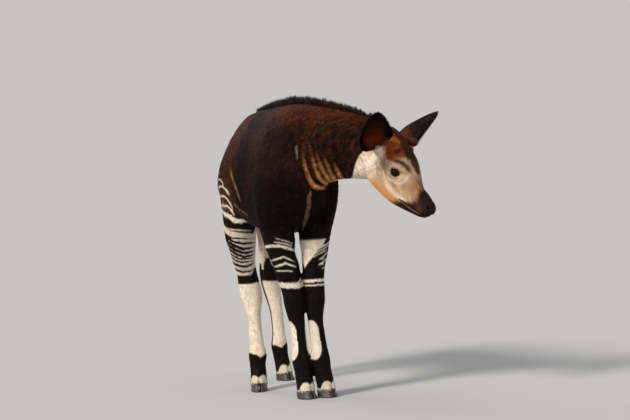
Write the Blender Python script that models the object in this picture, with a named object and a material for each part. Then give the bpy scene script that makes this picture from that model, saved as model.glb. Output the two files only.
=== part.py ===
"""A life-size standing okapi calf, in named pieces: trunk, neck, head, ears, eyes, legs, claws and tail.

Metres, +Z up. The calf faces -Y and its left side is +X. The floor is Z = 0.
"""

import math

import bmesh
import bpy
import numpy as np

# Driving dimensions, in metres
ORIGIN_SHIFT = (-0.1353, 0.1336, 0.0)  # moves the design frame so that the box's bottom centre is the origin
GAP = 0.0003  # between pieces that touch
LIMB_CUT = 0.600  # height where each leg meets the trunk
HOOF_HEIGHT = 0.027
BODY_VOXEL = 0.007
HEAD_VOXEL = 0.0034
SEED = 11
# Where the neck leaves the trunk and meets the head, and where the tail leaves the rump
NECK_START = (0.020, -0.376, 0.93)
NECK_START_WAY = (0.20, -0.93, 0.31)
NECK_END = (0.180, -0.553, 0.94)
NECK_END_WAY = (0.63, -0.71, -0.30)
TAIL_CUT = (0.0, 0.462, 0.90)
TAIL_CUT_WAY = (0.0, 1.0, -0.35)
# Share of the triangles kept after each skin is smoothed
HEAD_SHARE = 0.039
BODY_SHARE = 0.0461
# How often each skin is smoothed before that
HEAD_ROUNDS = 14
BODY_ROUNDS = 18
SHARP_ANGLE = 50.0  # degrees: steeper edges between faces stay sharp

# Rings along each form, and points round each ring
TRUNK_GRID = (40, 32)
NECK_GRID = (30, 28)
NECK_END_GRID = (20, 28)
LIMB_TOP_GRID = (22, 20)
LIMB_GRID = (28, 16)
TAIL_GRID = (18, 12)
TAIL_ROOT_GRID = (8, 12)
SKULL_GRID = (34, 26)
JAW_GRID = (28, 22)
BUD_GRID = (8, 12)
EAR_ROOT_GRID = (8, 16)
LID_GRID = (9, 16)
EYE_GRID = (11, 18)

# Trunk sections, front to back: Y, top, bottom, height of the widest line, half width, fullness above
TRUNK = (
    (-0.392, 0.925, 0.785, 0.850, 0.036, 2.0),
    (-0.365, 0.975, 0.748, 0.845, 0.072, 2.0),
    (-0.320, 1.050, 0.712, 0.835, 0.102, 1.9),
    (-0.250, 1.106, 0.668, 0.815, 0.128, 1.8),
    (-0.170, 1.112, 0.630, 0.810, 0.140, 1.8),
    (-0.080, 1.104, 0.615, 0.810, 0.150, 1.75),
    (0.020, 1.096, 0.626, 0.810, 0.160, 1.7),
    (0.120, 1.085, 0.643, 0.805, 0.157, 1.6),
    (0.210, 1.072, 0.668, 0.800, 0.144, 1.5),
    (0.300, 1.052, 0.690, 0.803, 0.128, 1.4),
    (0.370, 1.020, 0.712, 0.810, 0.108, 1.45),
    (0.420, 0.980, 0.738, 0.820, 0.082, 1.7),
    (0.450, 0.930, 0.775, 0.828, 0.045, 2.0),
)
TRUNK_FULLNESS_BELOW = 2.2
UPWARDS = (0.0, 0.0, 1.0)

# Neck sections, withers to poll: X, Y, crest height, throat height, half width
NECK = (
    (0.000, -0.200, 1.112, 0.780, 0.092),
    (0.020, -0.290, 1.120, 0.790, 0.094),
    (0.050, -0.366, 1.116, 0.808, 0.086),
    (0.089, -0.440, 1.101, 0.825, 0.077),
    (0.135, -0.501, 1.081, 0.830, 0.070),
    (0.183, -0.556, 1.056, 0.827, 0.064),
    (0.224, -0.600, 1.031, 0.828, 0.058),
    (0.250, -0.629, 1.007, 0.848, 0.050),
)
NECK_FULLNESS = 2.2
HEAD_NECK_ROW = 2  # the first neck row that the head's solid melts with

# Leg sections, top to bottom: height, X, Y, half width, reach to the front, reach to the back
FORE_RIGHT = (
    (0.960, -0.050, -0.170, 0.028, 0.040, 0.050),
    (0.890, -0.077, -0.205, 0.043, 0.088, 0.085),
    (0.820, -0.090, -0.236, 0.049, 0.105, 0.100),
    (0.760, -0.091, -0.234, 0.051, 0.098, 0.098),
    (0.700, -0.086, -0.217, 0.053, 0.082, 0.084),
    (0.645, -0.077, -0.206, 0.055, 0.067, 0.066),
    (0.600, -0.068, -0.203, 0.057, 0.058, 0.056),
    (0.560, -0.065, -0.206, 0.052, 0.052, 0.050),
    (0.500, -0.052, -0.212, 0.0500, 0.0480, 0.0470),
    (0.450, -0.0425, -0.216, 0.0445, 0.0430, 0.0430),
    (0.405, -0.0360, -0.2185, 0.0405, 0.0430, 0.0410),
    (0.370, -0.0335, -0.2175, 0.0395, 0.0415, 0.0395),
    (0.335, -0.0300, -0.2145, 0.0345, 0.0345, 0.0385),
    (0.295, -0.0245, -0.2125, 0.0290, 0.0285, 0.0340),
    (0.240, -0.0215, -0.2115, 0.0285, 0.0265, 0.0325),
    (0.185, -0.0205, -0.2125, 0.0305, 0.0285, 0.0355),
    (0.145, -0.0195, -0.2145, 0.0345, 0.0325, 0.0405),
    (0.110, -0.0190, -0.2205, 0.0330, 0.0325, 0.0360),
    (0.075, -0.0190, -0.2280, 0.0325, 0.0340, 0.0335),
    (0.045, -0.0190, -0.2325, 0.0332, 0.0390, 0.0330),
    (0.0275, -0.019, -0.234, 0.0330, 0.042, 0.034),
)
FORE_LEFT = (
    (0.960, 0.052, -0.185, 0.028, 0.040, 0.050),
    (0.890, 0.074, -0.215, 0.042, 0.088, 0.085),
    (0.820, 0.086, -0.245, 0.046, 0.103, 0.100),
    (0.760, 0.085, -0.245, 0.047, 0.096, 0.098),
    (0.700, 0.081, -0.234, 0.049, 0.081, 0.084),
    (0.645, 0.072, -0.225, 0.053, 0.067, 0.066),
    (0.600, 0.064, -0.224, 0.056, 0.058, 0.056),
    (0.560, 0.060, -0.228, 0.053, 0.052, 0.050),
    (0.500, 0.050, -0.234, 0.0430, 0.0440, 0.0450),
    (0.450, 0.044, -0.239, 0.0395, 0.0410, 0.0430),
    (0.405, 0.0425, -0.2425, 0.0380, 0.0415, 0.0400),
    (0.370, 0.0415, -0.2425, 0.0370, 0.0405, 0.0395),
    (0.335, 0.0400, -0.2410, 0.0335, 0.0340, 0.0380),
    (0.295, 0.0405, -0.2390, 0.0280, 0.0285, 0.0340),
    (0.240, 0.0435, -0.2405, 0.0280, 0.0270, 0.0330),
    (0.185, 0.0460, -0.2430, 0.0305, 0.0290, 0.0360),
    (0.145, 0.0480, -0.2450, 0.0345, 0.0335, 0.0410),
    (0.110, 0.0495, -0.2485, 0.0330, 0.0330, 0.0365),
    (0.075, 0.0515, -0.2530, 0.0325, 0.0345, 0.0340),
    (0.045, 0.0545, -0.2565, 0.0332, 0.0390, 0.0330),
    (0.0275, 0.055, -0.258, 0.0330, 0.042, 0.034),
)
HIND_RIGHT = (
    (0.935, -0.030, 0.322, 0.034, 0.066, 0.066),
    (0.870, -0.056, 0.302, 0.052, 0.114, 0.122),
    (0.800, -0.072, 0.272, 0.056, 0.128, 0.138),
    (0.740, -0.078, 0.240, 0.057, 0.115, 0.130),
    (0.690, -0.081, 0.220, 0.058, 0.097, 0.112),
    (0.645, -0.082, 0.210, 0.058, 0.082, 0.092),
    (0.600, -0.081, 0.210, 0.058, 0.069, 0.075),
    (0.560, -0.076, 0.216, 0.053, 0.058, 0.064),
    (0.500, -0.067, 0.232, 0.044, 0.045, 0.052),
    (0.455, -0.0560, 0.2435, 0.0390, 0.0390, 0.0490),
    (0.425, -0.0520, 0.2450, 0.0410, 0.0400, 0.0510),
    (0.385, -0.0505, 0.2365, 0.0445, 0.0410, 0.0450),
    (0.350, -0.0500, 0.2225, 0.0415, 0.0370, 0.0410),
    (0.315, -0.0545, 0.2042, 0.0315, 0.0295, 0.0360),
    (0.280, -0.0585, 0.1895, 0.0265, 0.0260, 0.0320),
    (0.230, -0.0625, 0.1735, 0.0255, 0.0240, 0.0300),
    (0.180, -0.0655, 0.1592, 0.0275, 0.0255, 0.0325),
    (0.133, -0.0700, 0.1463, 0.0350, 0.0320, 0.0400),
    (0.105, -0.074, 0.141, 0.0310, 0.028, 0.033),
    (0.075, -0.076, 0.134, 0.0310, 0.030, 0.031),
    (0.045, -0.079, 0.127, 0.0320, 0.038, 0.032),
    (0.0275, -0.081, 0.124, 0.0330, 0.042, 0.034),
)
HIND_LEFT = (
    (0.935, 0.030, 0.327, 0.034, 0.066, 0.066),
    (0.870, 0.056, 0.308, 0.052, 0.114, 0.122),
    (0.800, 0.073, 0.282, 0.056, 0.130, 0.136),
    (0.740, 0.080, 0.270, 0.057, 0.120, 0.128),
    (0.690, 0.084, 0.272, 0.058, 0.102, 0.112),
    (0.645, 0.086, 0.284, 0.059, 0.084, 0.094),
    (0.600, 0.086, 0.305, 0.060, 0.069, 0.075),
    (0.560, 0.087, 0.330, 0.052, 0.056, 0.062),
    (0.500, 0.088, 0.372, 0.042, 0.043, 0.050),
    (0.455, 0.096, 0.404, 0.034, 0.037, 0.048),
    (0.425, 0.099, 0.420, 0.034, 0.037, 0.050),
    (0.385, 0.104, 0.426, 0.036, 0.037, 0.043),
    (0.350, 0.108, 0.422, 0.033, 0.033, 0.039),
    (0.315, 0.110, 0.413, 0.029, 0.027, 0.034),
    (0.280, 0.111, 0.403, 0.0260, 0.024, 0.030),
    (0.230, 0.110, 0.392, 0.0250, 0.022, 0.028),
    (0.180, 0.107, 0.381, 0.0260, 0.023, 0.030),
    (0.133, 0.103, 0.372, 0.0320, 0.030, 0.038),
    (0.105, 0.103, 0.368, 0.0300, 0.028, 0.033),
    (0.075, 0.105, 0.364, 0.0300, 0.030, 0.031),
    (0.045, 0.107, 0.358, 0.0310, 0.038, 0.032),
    (0.0275, 0.108, 0.356, 0.0320, 0.042, 0.034),
)
LIMB_FIRST_ROW = 4  # the first row that the leg below the cut needs
LIMB_BODY_ROWS = 9  # rows of each leg that lie in the trunk, and one below the cut
STUB_GROWTH = 1.07  # the legs' upper ends are this much thicker before the smoothing thins them
# Each leg: its sections, and the way its knee and toes point, in degrees left of straight ahead
LEGS = {
    "front_right": (FORE_RIGHT, 18.0),
    "front_left": (FORE_LEFT, 18.0),
    "hind_right": (HIND_RIGHT, -16.0),
    "hind_left": (HIND_LEFT, 12.0),
}

# Head frame: the poll, the way the face points, and how far it hangs below level
POLL = (0.262, -0.6475, 1.005)
FACE_HEADING = 35.0
FACE_DROP = 63.7
HEAD_UP = (0.0, 1.0, 0.0)
SKULL_FULLNESS = 2.3
JAW_FULLNESS = 2.1
# Skull and muzzle sections: along the face, brow side, under side, half width
SKULL = (
    (-0.020, -0.016, -0.120, 0.044),
    (0.020, 0.001, -0.134, 0.054),
    (0.060, 0.006, -0.138, 0.059),
    (0.100, 0.009, -0.136, 0.0620),
    (0.140, 0.010, -0.126, 0.0600),
    (0.175, 0.002, -0.114, 0.0515),
    (0.210, -0.009, -0.100, 0.0425),
    (0.240, -0.014, -0.088, 0.0365),
    (0.268, -0.008, -0.078, 0.0345),
    (0.300, -0.004, -0.068, 0.0335),
    (0.322, -0.005, -0.058, 0.0285),
    (0.336, -0.016, -0.046, 0.0170),
)
# Lower jaw: along the face, depth below the brow line, half width, radius up, radius down
JAW = (
    (0.040, -0.130, 0.049, 0.075, 0.058),
    (0.085, -0.145, 0.052, 0.082, 0.056),
    (0.130, -0.142, 0.049, 0.078, 0.047),
    (0.172, -0.133, 0.043, 0.062, 0.041),
    (0.210, -0.118, 0.036, 0.046, 0.038),
    (0.250, -0.097, 0.029, 0.035, 0.031),
    (0.286, -0.077, 0.026, 0.028, 0.023),
    (0.316, -0.058, 0.021, 0.020, 0.017),
    (0.332, -0.049, 0.011, 0.010, 0.010),
)
EYE_PLACE = (0.1420, -0.0560, 0.0465)  # along the face, below the brow line, to the side
EYE_RADIUS = 0.0175
LID_THICKNESS = 0.0028
EYE_OPENING = (0.0160, 0.0115)  # half length and half height
EYE_OUTWARD = (0.10, 0.22)  # how far an eye looks down the face and up, for one to the side
EYE_SLANT = (0.80, 0.60)  # from the back corner of an eye to its front corner
ALMOND_POINT = 1.25
# The opening between the lids: its distance out from the eye's centre and its scale, from the inside out
LID_CUTS = ((0.008, 0.70), (0.019, 1.0), (0.040, 1.6))
LID_CUT_POINTS = 28
BUD_PLACE = (0.082, -0.002, 0.034)  # the small horn buds of a calf
BUD_SECTIONS = ((-0.020, 0.013), (0.000, 0.013), (0.009, 0.005))  # rise over the skull and radius
NOSTRIL = (0.318, -0.016, 0.024)
NOSTRIL_HALF = (0.0095, 0.0048)  # half length and half height
NOSTRIL_TILT = (0.90, 0.45)  # of its length, along the face and below the brow line
NOSTRIL_OUTWARD = (0.0, 0.25, 0.97)
NOSTRIL_DEPTH = 0.0075
NOSTRIL_RIM = (1.7, 0.42, 0.0016)  # place and spread in half sizes, and height
# The line of the mouth: along the face, below the brow line
MOUTH = (
    (0.228, -0.1065),
    (0.250, -0.0940),
    (0.280, -0.0770),
    (0.305, -0.0610),
    (0.326, -0.0430),
    (0.345, -0.0300),
)
MOUTH_GROOVE = (0.0026, 0.0042)  # half width and depth
LIPS = (0.0075, 0.0045, 0.0016)  # distance from the line of the mouth, half width and height
MUZZLE_FRONT = (0.318, 0.012)  # where the sides of the muzzle turn into its front, and over what length
LIP_REGION = 0.012  # skin this near to the line of the mouth is modelled finely
MIDLINE = 0.004  # skin this near to the middle of the face is left smooth
# Where the head keeps its triangles: reach, the fade inside that reach, and how much is kept
EYE_DETAIL = (0.030, 0.010, 0.70)
NOSTRIL_DETAIL = (0.018, 0.006, 0.80)
MOUTH_DETAIL = (0.010, 0.004, 0.75)
BUD_DETAIL = (0.026, 0.008, 0.60)
FACE_DETAIL = (0.050, 0.15)  # from this place down the face, and how much is kept

# Ears: where each leaves the skull, its tip, both in the head frame, and the way its cup opens
EARS = {
    "ear_right": ((0.030, -0.062, -0.072), (-0.055, 0.058, -0.168), (0.80, 0.40, -0.45)),
    "ear_left": ((0.030, -0.062, 0.072), (0.000, 0.112, 0.128), (0.72, -0.46, 0.50)),
}
EAR_ROOT_WAY = (-0.40, 0.30, 0.87)  # how an ear leaves the skull, for the left one
EAR_ROOT_REACH = 0.048
EAR_ROOT = ((-0.045, 0.030), (-0.020, 0.028), (-0.002, 0.023))  # depth and radius of the swelling round it
EAR_ROOT_HINT = (0.84, 0.0, 0.54)  # the way its rings' tops point, in the head frame
EAR_STUB_DEPTH = 0.034  # how far an ear's root runs on inside the skull
# Ear sections: share of the length, half width, depth of the back, depth of the hollow (below 0: closed)
EAR_SECTIONS = (
    (0.00, 0.024, 0.021, -0.019),
    (0.08, 0.029, 0.025, -0.012),
    (0.18, 0.043, 0.031, 0.010),
    (0.32, 0.059, 0.034, 0.028),
    (0.48, 0.065, 0.031, 0.0265),
    (0.64, 0.059, 0.025, 0.0205),
    (0.80, 0.046, 0.017, 0.0130),
    (0.92, 0.030, 0.010, 0.0060),
    (1.00, 0.011, 0.003, 0.0005),
)
EAR_WALL = 0.0035
EAR_RINGS = 13
EAR_AROUND = 10  # points across the back of an ear
EAR_FORWARD = 0.45  # how far the rims stand ahead of the middle line, in depths of the back

# Tail: points of its middle line from inside the rump to its end, and its radii there
TAIL_START = (0.0, 0.420, 0.953)
TAIL_PATH = (
    (0.000, 0.448, 0.925),
    (0.000, 0.478, 0.880),
    (0.002, 0.488, 0.800),
    (0.004, 0.484, 0.700),
    (0.006, 0.480, 0.620),
)
TAIL_RADII = (0.022, 0.017, 0.012, 0.010, 0.008)
TAIL_HINT = (0.0, 1.0, 0.2)
TAIL_ROOT = (((0.0, 0.400, 0.960), 0.034), ((0.0, 0.440, 0.932), 0.028))  # the rump's swelling under the tail

# Mane: its ends along the crest as rows of TRUNK and NECK, and its locks
MANE_TRUNK_ROWS = (7, 4)  # from the loins to the withers
MANE_NECK_ROWS = (1, 7)
MANE_SHARES = (0.0, 0.10, 0.30, 0.50, 0.80, 1.0)
MANE_HEIGHTS = (0.012, 0.018, 0.027, 0.029, 0.025, 0.021)  # over the skin, at those shares of the way
MANE_LOCKS = 58
MANE_LAST = 0.975  # share of the crest where the last lock stands
LOCK_WIDTH = 0.031  # along the crest
LOCK_FULLNESS = 2.6  # the higher, the later a lock narrows towards its tip
LOCK_TIP = 0.22  # share of the width left at the tip
LOCK_THICKNESS = 0.0085
LOCK_SINK = 0.011
LOCK_SPREAD = 0.0022  # how far alternate locks stand to the two sides
LOCK_LEAN = 0.30  # how far a tip leans back, in heights
LOCK_RINGS = (0.0, 0.35, 0.7, 1.0)  # shares of a lock's length
LOCK_STAGGER = 0.2  # most that a lock stands off its even place, in steps
LOCK_VARY = (0.86, 1.10)  # of a lock's height
WIDTH_VARY = (0.85, 1.15)
LEAN_VARY = (0.5, 1.3)
SPLAY = (0.02, 0.16)  # how far a lock stands off to its side
SIDE_BEND = 0.10
CREST_STEPS = 200
GOLDEN_TURN = 2.39996  # radians from one tuft lock to the next
TUFT_LOCKS = 14
TUFT_RISE = (0.055, 0.0)  # highest and lowest root over the end of the tail
TUFT_LENGTH = 0.085
TUFT_WIDTH = 0.014
TUFT_SPLAY = (0.08, 0.16)
TUFT_CLOSING = 0.10  # how far the locks bend back to the middle, in lengths
TUFT_SINK = 0.004

# A claw of a hoof: from heel to toe, its half width, and the gap and splay between the two
CLAW_HEEL = -0.034
CLAW_LENGTH = 0.084
CLAW_WIDTH = 0.0315
CLAW_ROUNDNESS = 0.8
CLAW_CLEFT = 0.0014
CLAW_SPLAY = (0.030, 0.16)  # from this far forward, and how fast the claws part
CLAW_NARROWING = (0.050, 0.25)  # at this far forward, the share of the width that is gone
CLAW_POINTS = 9
# Levels of a claw: height, scale, and how far it slides back
CLAW_LEVELS = ((0.0, 1.0, 0.0), (0.010, 0.985, -0.003), (HOOF_HEIGHT, 0.90, -0.0075))

COAT_COLOUR = (0.020, 0.011, 0.008)
NECK_COLOUR = (0.040, 0.018, 0.010)
EAR_COLOUR = (0.030, 0.012, 0.009)
FACE_COLOUR = (0.42, 0.31, 0.24)
LEG_COLOUR = (0.35, 0.30, 0.25)
MANE_COLOUR = (0.008, 0.006, 0.006)
HORN_COLOUR = (0.035, 0.038, 0.045)
EYE_COLOUR = (0.010, 0.007, 0.006)


def finish(name, colour, roughness):
    """A plain Principled material."""
    material = bpy.data.materials.new(name)
    material.use_nodes = True
    shader = material.node_tree.nodes["Principled BSDF"]
    shader.inputs["Base Color"].default_value = (*colour, 1.0)
    shader.inputs["Roughness"].default_value = roughness
    shader.inputs["Metallic"].default_value = 0.0
    return material


def add_object(name, points, faces, material=None):
    """A mesh object from points and faces, with its faces turned outwards."""
    mesh = bpy.data.meshes.new(name)
    mesh.from_pydata([tuple(p) for p in points], [], [tuple(f) for f in faces])
    shape = bmesh.new()
    shape.from_mesh(mesh)
    bmesh.ops.recalc_face_normals(shape, faces=shape.faces)
    shape.to_mesh(mesh)
    shape.free()
    obj = bpy.data.objects.new(name, mesh)
    bpy.context.scene.collection.objects.link(obj)
    if material:
        mesh.materials.append(material)
    return obj


def unit(vector):
    vector = np.asarray(vector, float)
    return vector / np.linalg.norm(vector, axis=-1, keepdims=True)


def faired(rows, count):
    """Rows of named sections read at evenly spaced places along a smooth curve through them."""
    rows = np.asarray(rows, float)
    steps = np.linalg.norm(np.diff(rows[:, :3], axis=0), axis=1)
    place = np.concatenate([[0.0], np.cumsum(steps)])
    slope = np.gradient(rows, place, axis=0)
    wanted = np.linspace(0.0, place[-1], count)
    i = np.clip(np.searchsorted(place, wanted, side="right") - 1, 0, len(place) - 2)
    span = (place[i + 1] - place[i])[:, None]
    x = (wanted - place[i])[:, None] / span
    return (
        (2 * x**3 - 3 * x**2 + 1) * rows[i]
        + (x**3 - 2 * x**2 + x) * span * slope[i]
        + (3 * x**2 - 2 * x**3) * rows[i + 1]
        + (x**3 - x**2) * span * slope[i + 1]
    )


def ring_faces(rings, around):
    """Quads between rings of points, and one flat face at each end."""
    faces = []
    for r in range(rings - 1):
        for k in range(around):
            a = r * around + k
            b = r * around + (k + 1) % around
            faces.append((a, b, b + around, a + around))
    faces.append(tuple(range(around))[::-1])
    faces.append(tuple((rings - 1) * around + k for k in range(around)))
    return faces


def loft(rows, count, around, hint, power=2.0, power_below=None):
    """Rings across a path. Rows hold centre, half width, reach towards the hint and reach away from it."""
    rows = faired(rows, count)
    centre = rows[:, :3]
    axis = unit(np.gradient(centre, axis=0))
    side = unit(np.cross(axis, np.broadcast_to(hint, axis.shape)))
    up = np.cross(side, axis)
    angle = np.arange(around) * 2 * math.pi / around
    power = rows[:, 6] if rows.shape[1] > 6 else np.full(count, power)
    power = np.where(np.sin(angle) >= 0, power[:, None], power_below or power[:, None])
    across = np.sign(np.cos(angle)) * np.abs(np.cos(angle)) ** (2 / power)
    along = np.sign(np.sin(angle)) * np.abs(np.sin(angle)) ** (2 / power)
    reach = np.where(along > 0, rows[:, 4:5], rows[:, 5:6])
    points = (
        centre[:, None]
        + side[:, None] * (across * rows[:, 3:4])[..., None]
        + up[:, None] * (along * reach)[..., None]
    )
    return points.reshape(-1, 3), ring_faces(count, around)


def leg_rows(name):
    """A leg's sections as rows of centre, half width, and the reaches to the front and back."""
    rows = np.array(LEGS[name][0])
    return rows[:, [1, 2, 0, 3, 4, 5]]


def heading(degrees):
    """The level direction that many degrees left of straight ahead."""
    turn = math.radians(degrees)
    return np.array([math.sin(turn), -math.cos(turn), 0.0])


def head_axes():
    """Rows: down the face, out of the brow, and to the calf's left."""
    ahead = heading(FACE_HEADING)
    drop = math.radians(FACE_DROP)
    down_face = math.cos(drop) * ahead - math.sin(drop) * np.array([0.0, 0.0, 1.0])
    brow = math.sin(drop) * ahead + math.cos(drop) * np.array([0.0, 0.0, 1.0])
    left = heading(FACE_HEADING + 90.0)
    return np.array([down_face, brow, left])


def from_head(local):
    return np.array(POLL) + np.asarray(local) @ head_axes()


def to_head(points):
    return (np.asarray(points) - np.array(POLL)) @ head_axes().T


def join_all(name, shells):
    """Several closed shells as one mesh object."""
    points, faces, start = [], [], 0
    for shell_points, shell_faces in shells:
        points.append(shell_points)
        faces += [tuple(i + start for i in face) for face in shell_faces]
        start += len(shell_points)
    return add_object(name, np.concatenate(points), faces)


def settle(obj):
    """Applies an object's modifiers."""
    graph = bpy.context.evaluated_depsgraph_get()
    mesh = bpy.data.meshes.new_from_object(obj.evaluated_get(graph))
    obj.modifiers.clear()
    obj.data = mesh
    return obj


def melt(obj, voxel, rounds):
    """Overlapping shells become one skin, and the creases between them fill."""
    remesh = obj.modifiers.new("Skin", "REMESH")
    remesh.mode = "VOXEL"
    remesh.voxel_size = voxel
    smooth = obj.modifiers.new("Soften", "SMOOTH")
    smooth.factor = 0.5
    smooth.iterations = rounds
    return settle(obj)


def thin_out(obj, ratio, group=None):
    """Fewer triangles, kept where the named group of vertices is."""
    fewer = obj.modifiers.new("Fewer", "DECIMATE")
    fewer.ratio = ratio
    if group:
        fewer.vertex_group = group
        fewer.invert_vertex_group = True
        fewer.vertex_group_factor = 1.0
    return settle(obj)


def points_of(obj):
    points = np.empty(len(obj.data.vertices) * 3)
    obj.data.vertices.foreach_get("co", points)
    return points.reshape(-1, 3)


def put_points(obj, points):
    obj.data.vertices.foreach_set("co", np.asarray(points, np.float32).ravel())
    obj.data.update()


def boolean(obj, other, operation, solver="EXACT"):
    cut = obj.modifiers.new("Cut", "BOOLEAN")
    cut.operation = operation
    cut.solver = solver
    cut.object = other
    settle(obj)
    return obj


def copy_of(obj, name):
    twin = bpy.data.objects.new(name, obj.data.copy())
    bpy.context.scene.collection.objects.link(twin)
    return twin


def drop(*objects):
    for obj in objects:
        bpy.data.objects.remove(obj)


def half_space(point, normal, size=3.0):
    """A large box whose one face lies in the plane and which fills the side that the normal points to."""
    normal = unit(normal)
    first = unit(np.cross(normal, (0.3, 0.2, 0.93)))
    second = np.cross(normal, first)
    corners = []
    for depth in (0.0, size):
        for a, b in ((-1, -1), (1, -1), (1, 1), (-1, 1)):
            corners.append(np.array(point) + normal * depth + (first * a + second * b) * size / 2)
    faces = ((3, 2, 1, 0), (4, 5, 6, 7), (0, 1, 5, 4), (1, 2, 6, 5), (2, 3, 7, 6), (3, 0, 4, 7))
    return add_object("side", corners, faces)


def keep_side(obj, point, normal, gap=GAP / 2):
    """Keeps the part of an object on the side that the normal points to, half a gap short of the plane."""
    box = half_space(np.array(point) + unit(normal) * gap, normal)
    boolean(obj, box, "INTERSECT")
    drop(box)
    return obj


def drop_side(obj, point, normal, gap=GAP / 2):
    box = half_space(np.array(point) - unit(normal) * gap, normal)
    boolean(obj, box, "DIFFERENCE")
    drop(box)
    return obj


def largest_surface(obj):
    """Keeps the closed surface with the most faces."""
    shape = bmesh.new()
    shape.from_mesh(obj.data)
    shape.verts.ensure_lookup_table()
    island = {}
    groups = []
    for seed in shape.verts:
        if seed.index in island:
            continue
        found = [seed]
        island[seed.index] = len(groups)
        for vertex in found:
            for edge in vertex.link_edges:
                other = edge.other_vert(vertex)
                if other.index not in island:
                    island[other.index] = len(groups)
                    found.append(other)
        groups.append(found)
    groups.sort(key=len, reverse=True)
    bmesh.ops.delete(shape, geom=[v for group in groups[1:] for v in group], context="VERTS")
    shape.to_mesh(obj.data)
    shape.free()
    return obj


def trunk_shell():
    """The trunk as rings from chest to buttocks, each with its own reach up and down from its widest line."""
    rows = [(0.0, y, wide, half, top - wide, wide - low, full) for y, top, low, wide, half, full in TRUNK]
    return loft(rows, *TRUNK_GRID, UPWARDS, power_below=TRUNK_FULLNESS_BELOW)


def neck_shell(first_row, grid):
    """The neck as rings from one of its rows up to the poll."""
    rows = []
    for x, y, top, low, half in NECK[first_row:]:
        reach = (top - low) / 2
        rows.append((x, y, top - reach, half, reach, reach))
    return loft(rows, *grid, UPWARDS, power=NECK_FULLNESS)


def ear_root_way(name):
    """The way an ear leaves the skull, in the head frame."""
    u, v, w = EAR_ROOT_WAY
    return unit((u, v, math.copysign(w, EARS[name][0][2])))


def ear_line(name, share):
    """A point of the ear's middle line: a quadratic curve from the root, first along its root way."""
    start, end, _ = (np.array(v) for v in EARS[name])
    bend = start + ear_root_way(name) * EAR_ROOT_REACH
    return (1 - share) ** 2 * start + 2 * share * (1 - share) * bend + share**2 * end


def head_shells():
    """The skull with its muzzle, the lower jaw, the ears' roots, the two horn buds and the lids' swelling."""
    skull = [(u, (top + low) / 2, 0.0, half, (top - low) / 2, (top - low) / 2) for u, top, low, half in SKULL]
    jaw = [(u, v, 0.0, half, up, down) for u, v, half, up, down in JAW]
    shells = [
        loft(skull, *SKULL_GRID, HEAD_UP, power=SKULL_FULLNESS),
        loft(jaw, *JAW_GRID, HEAD_UP, power=JAW_FULLNESS),
    ]
    for side in (-1, 1):
        u, v, w = BUD_PLACE
        bud = [(u, v + rise, side * w, r, r, r) for rise, r in BUD_SECTIONS]
        shells.append(loft(bud, *BUD_GRID, (1.0, 0.0, 0.0)))
        eye = (*EYE_PLACE[:2], side * EYE_PLACE[2])
        shells.append(ball_shell(eye, EYE_RADIUS + LID_THICKNESS, *LID_GRID))
    for name, (start, _, _) in EARS.items():
        way = ear_root_way(name)
        root = [(*(np.array(start) + way * d), r, r, r) for d, r in EAR_ROOT]
        shells.append(loft(root, *EAR_ROOT_GRID, EAR_ROOT_HINT))
    return [(from_head(points), faces) for points, faces in shells]


def smooth_step(x):
    """0 below 0, 1 above 1, and a smooth rise between."""
    x = np.clip(x, 0.0, 1.0)
    return x * x * (3 - 2 * x)


def ball_shell(centre, radius, rings, around):
    """A closed ball as rings from pole to pole."""
    polar = np.linspace(0.02, 0.98, rings) * math.pi
    turn = np.arange(around) * 2 * math.pi / around
    x = np.outer(np.sin(polar), np.cos(turn))
    y = np.outer(np.sin(polar), np.sin(turn))
    z = np.outer(np.cos(polar), np.ones(around))
    points = np.array(centre) + radius * np.stack([x, y, z], axis=-1).reshape(-1, 3)
    return points, ring_faces(rings, around)


def lid_opening(side):
    """A widening almond prism that opens the skin over an eyeball and leaves the rims of the lids."""
    centre = np.array([EYE_PLACE[0], EYE_PLACE[1], side * EYE_PLACE[2]])
    outward = unit((*EYE_OUTWARD, side))
    along = np.array([*EYE_SLANT, 0.0])
    along = unit(along - outward * (along @ outward))
    across = np.cross(outward, along)
    turn = np.arange(LID_CUT_POINTS) * 2 * math.pi / LID_CUT_POINTS
    long_way = EYE_OPENING[0] * np.cos(turn)
    short_way = EYE_OPENING[1] * np.sign(np.sin(turn)) * np.abs(np.sin(turn)) ** ALMOND_POINT
    points = []
    for depth, scale in LID_CUTS:
        ring = np.outer(long_way * scale, along) + np.outer(short_way * scale, across)
        points.append(centre + outward * depth + ring)
    return add_object("opening", from_head(np.concatenate(points)), ring_faces(len(LID_CUTS), len(turn)))


def line_distance(points, path):
    """Distance from points in a plane to a bent line, and the share of the way along it."""
    best = np.full(len(points), 9.0)
    share = np.zeros(len(points))
    path = np.asarray(path)
    for k in range(len(path) - 1):
        edge = path[k + 1] - path[k]
        t = np.clip(((points - path[k]) @ edge) / (edge @ edge), 0, 1)
        gap = np.linalg.norm(points - path[k] - t[:, None] * edge, axis=1)
        closer = gap < best
        best = np.where(closer, gap, best)
        share = np.where(closer, (k + t) / (len(path) - 1), share)
    return best, share


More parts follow.
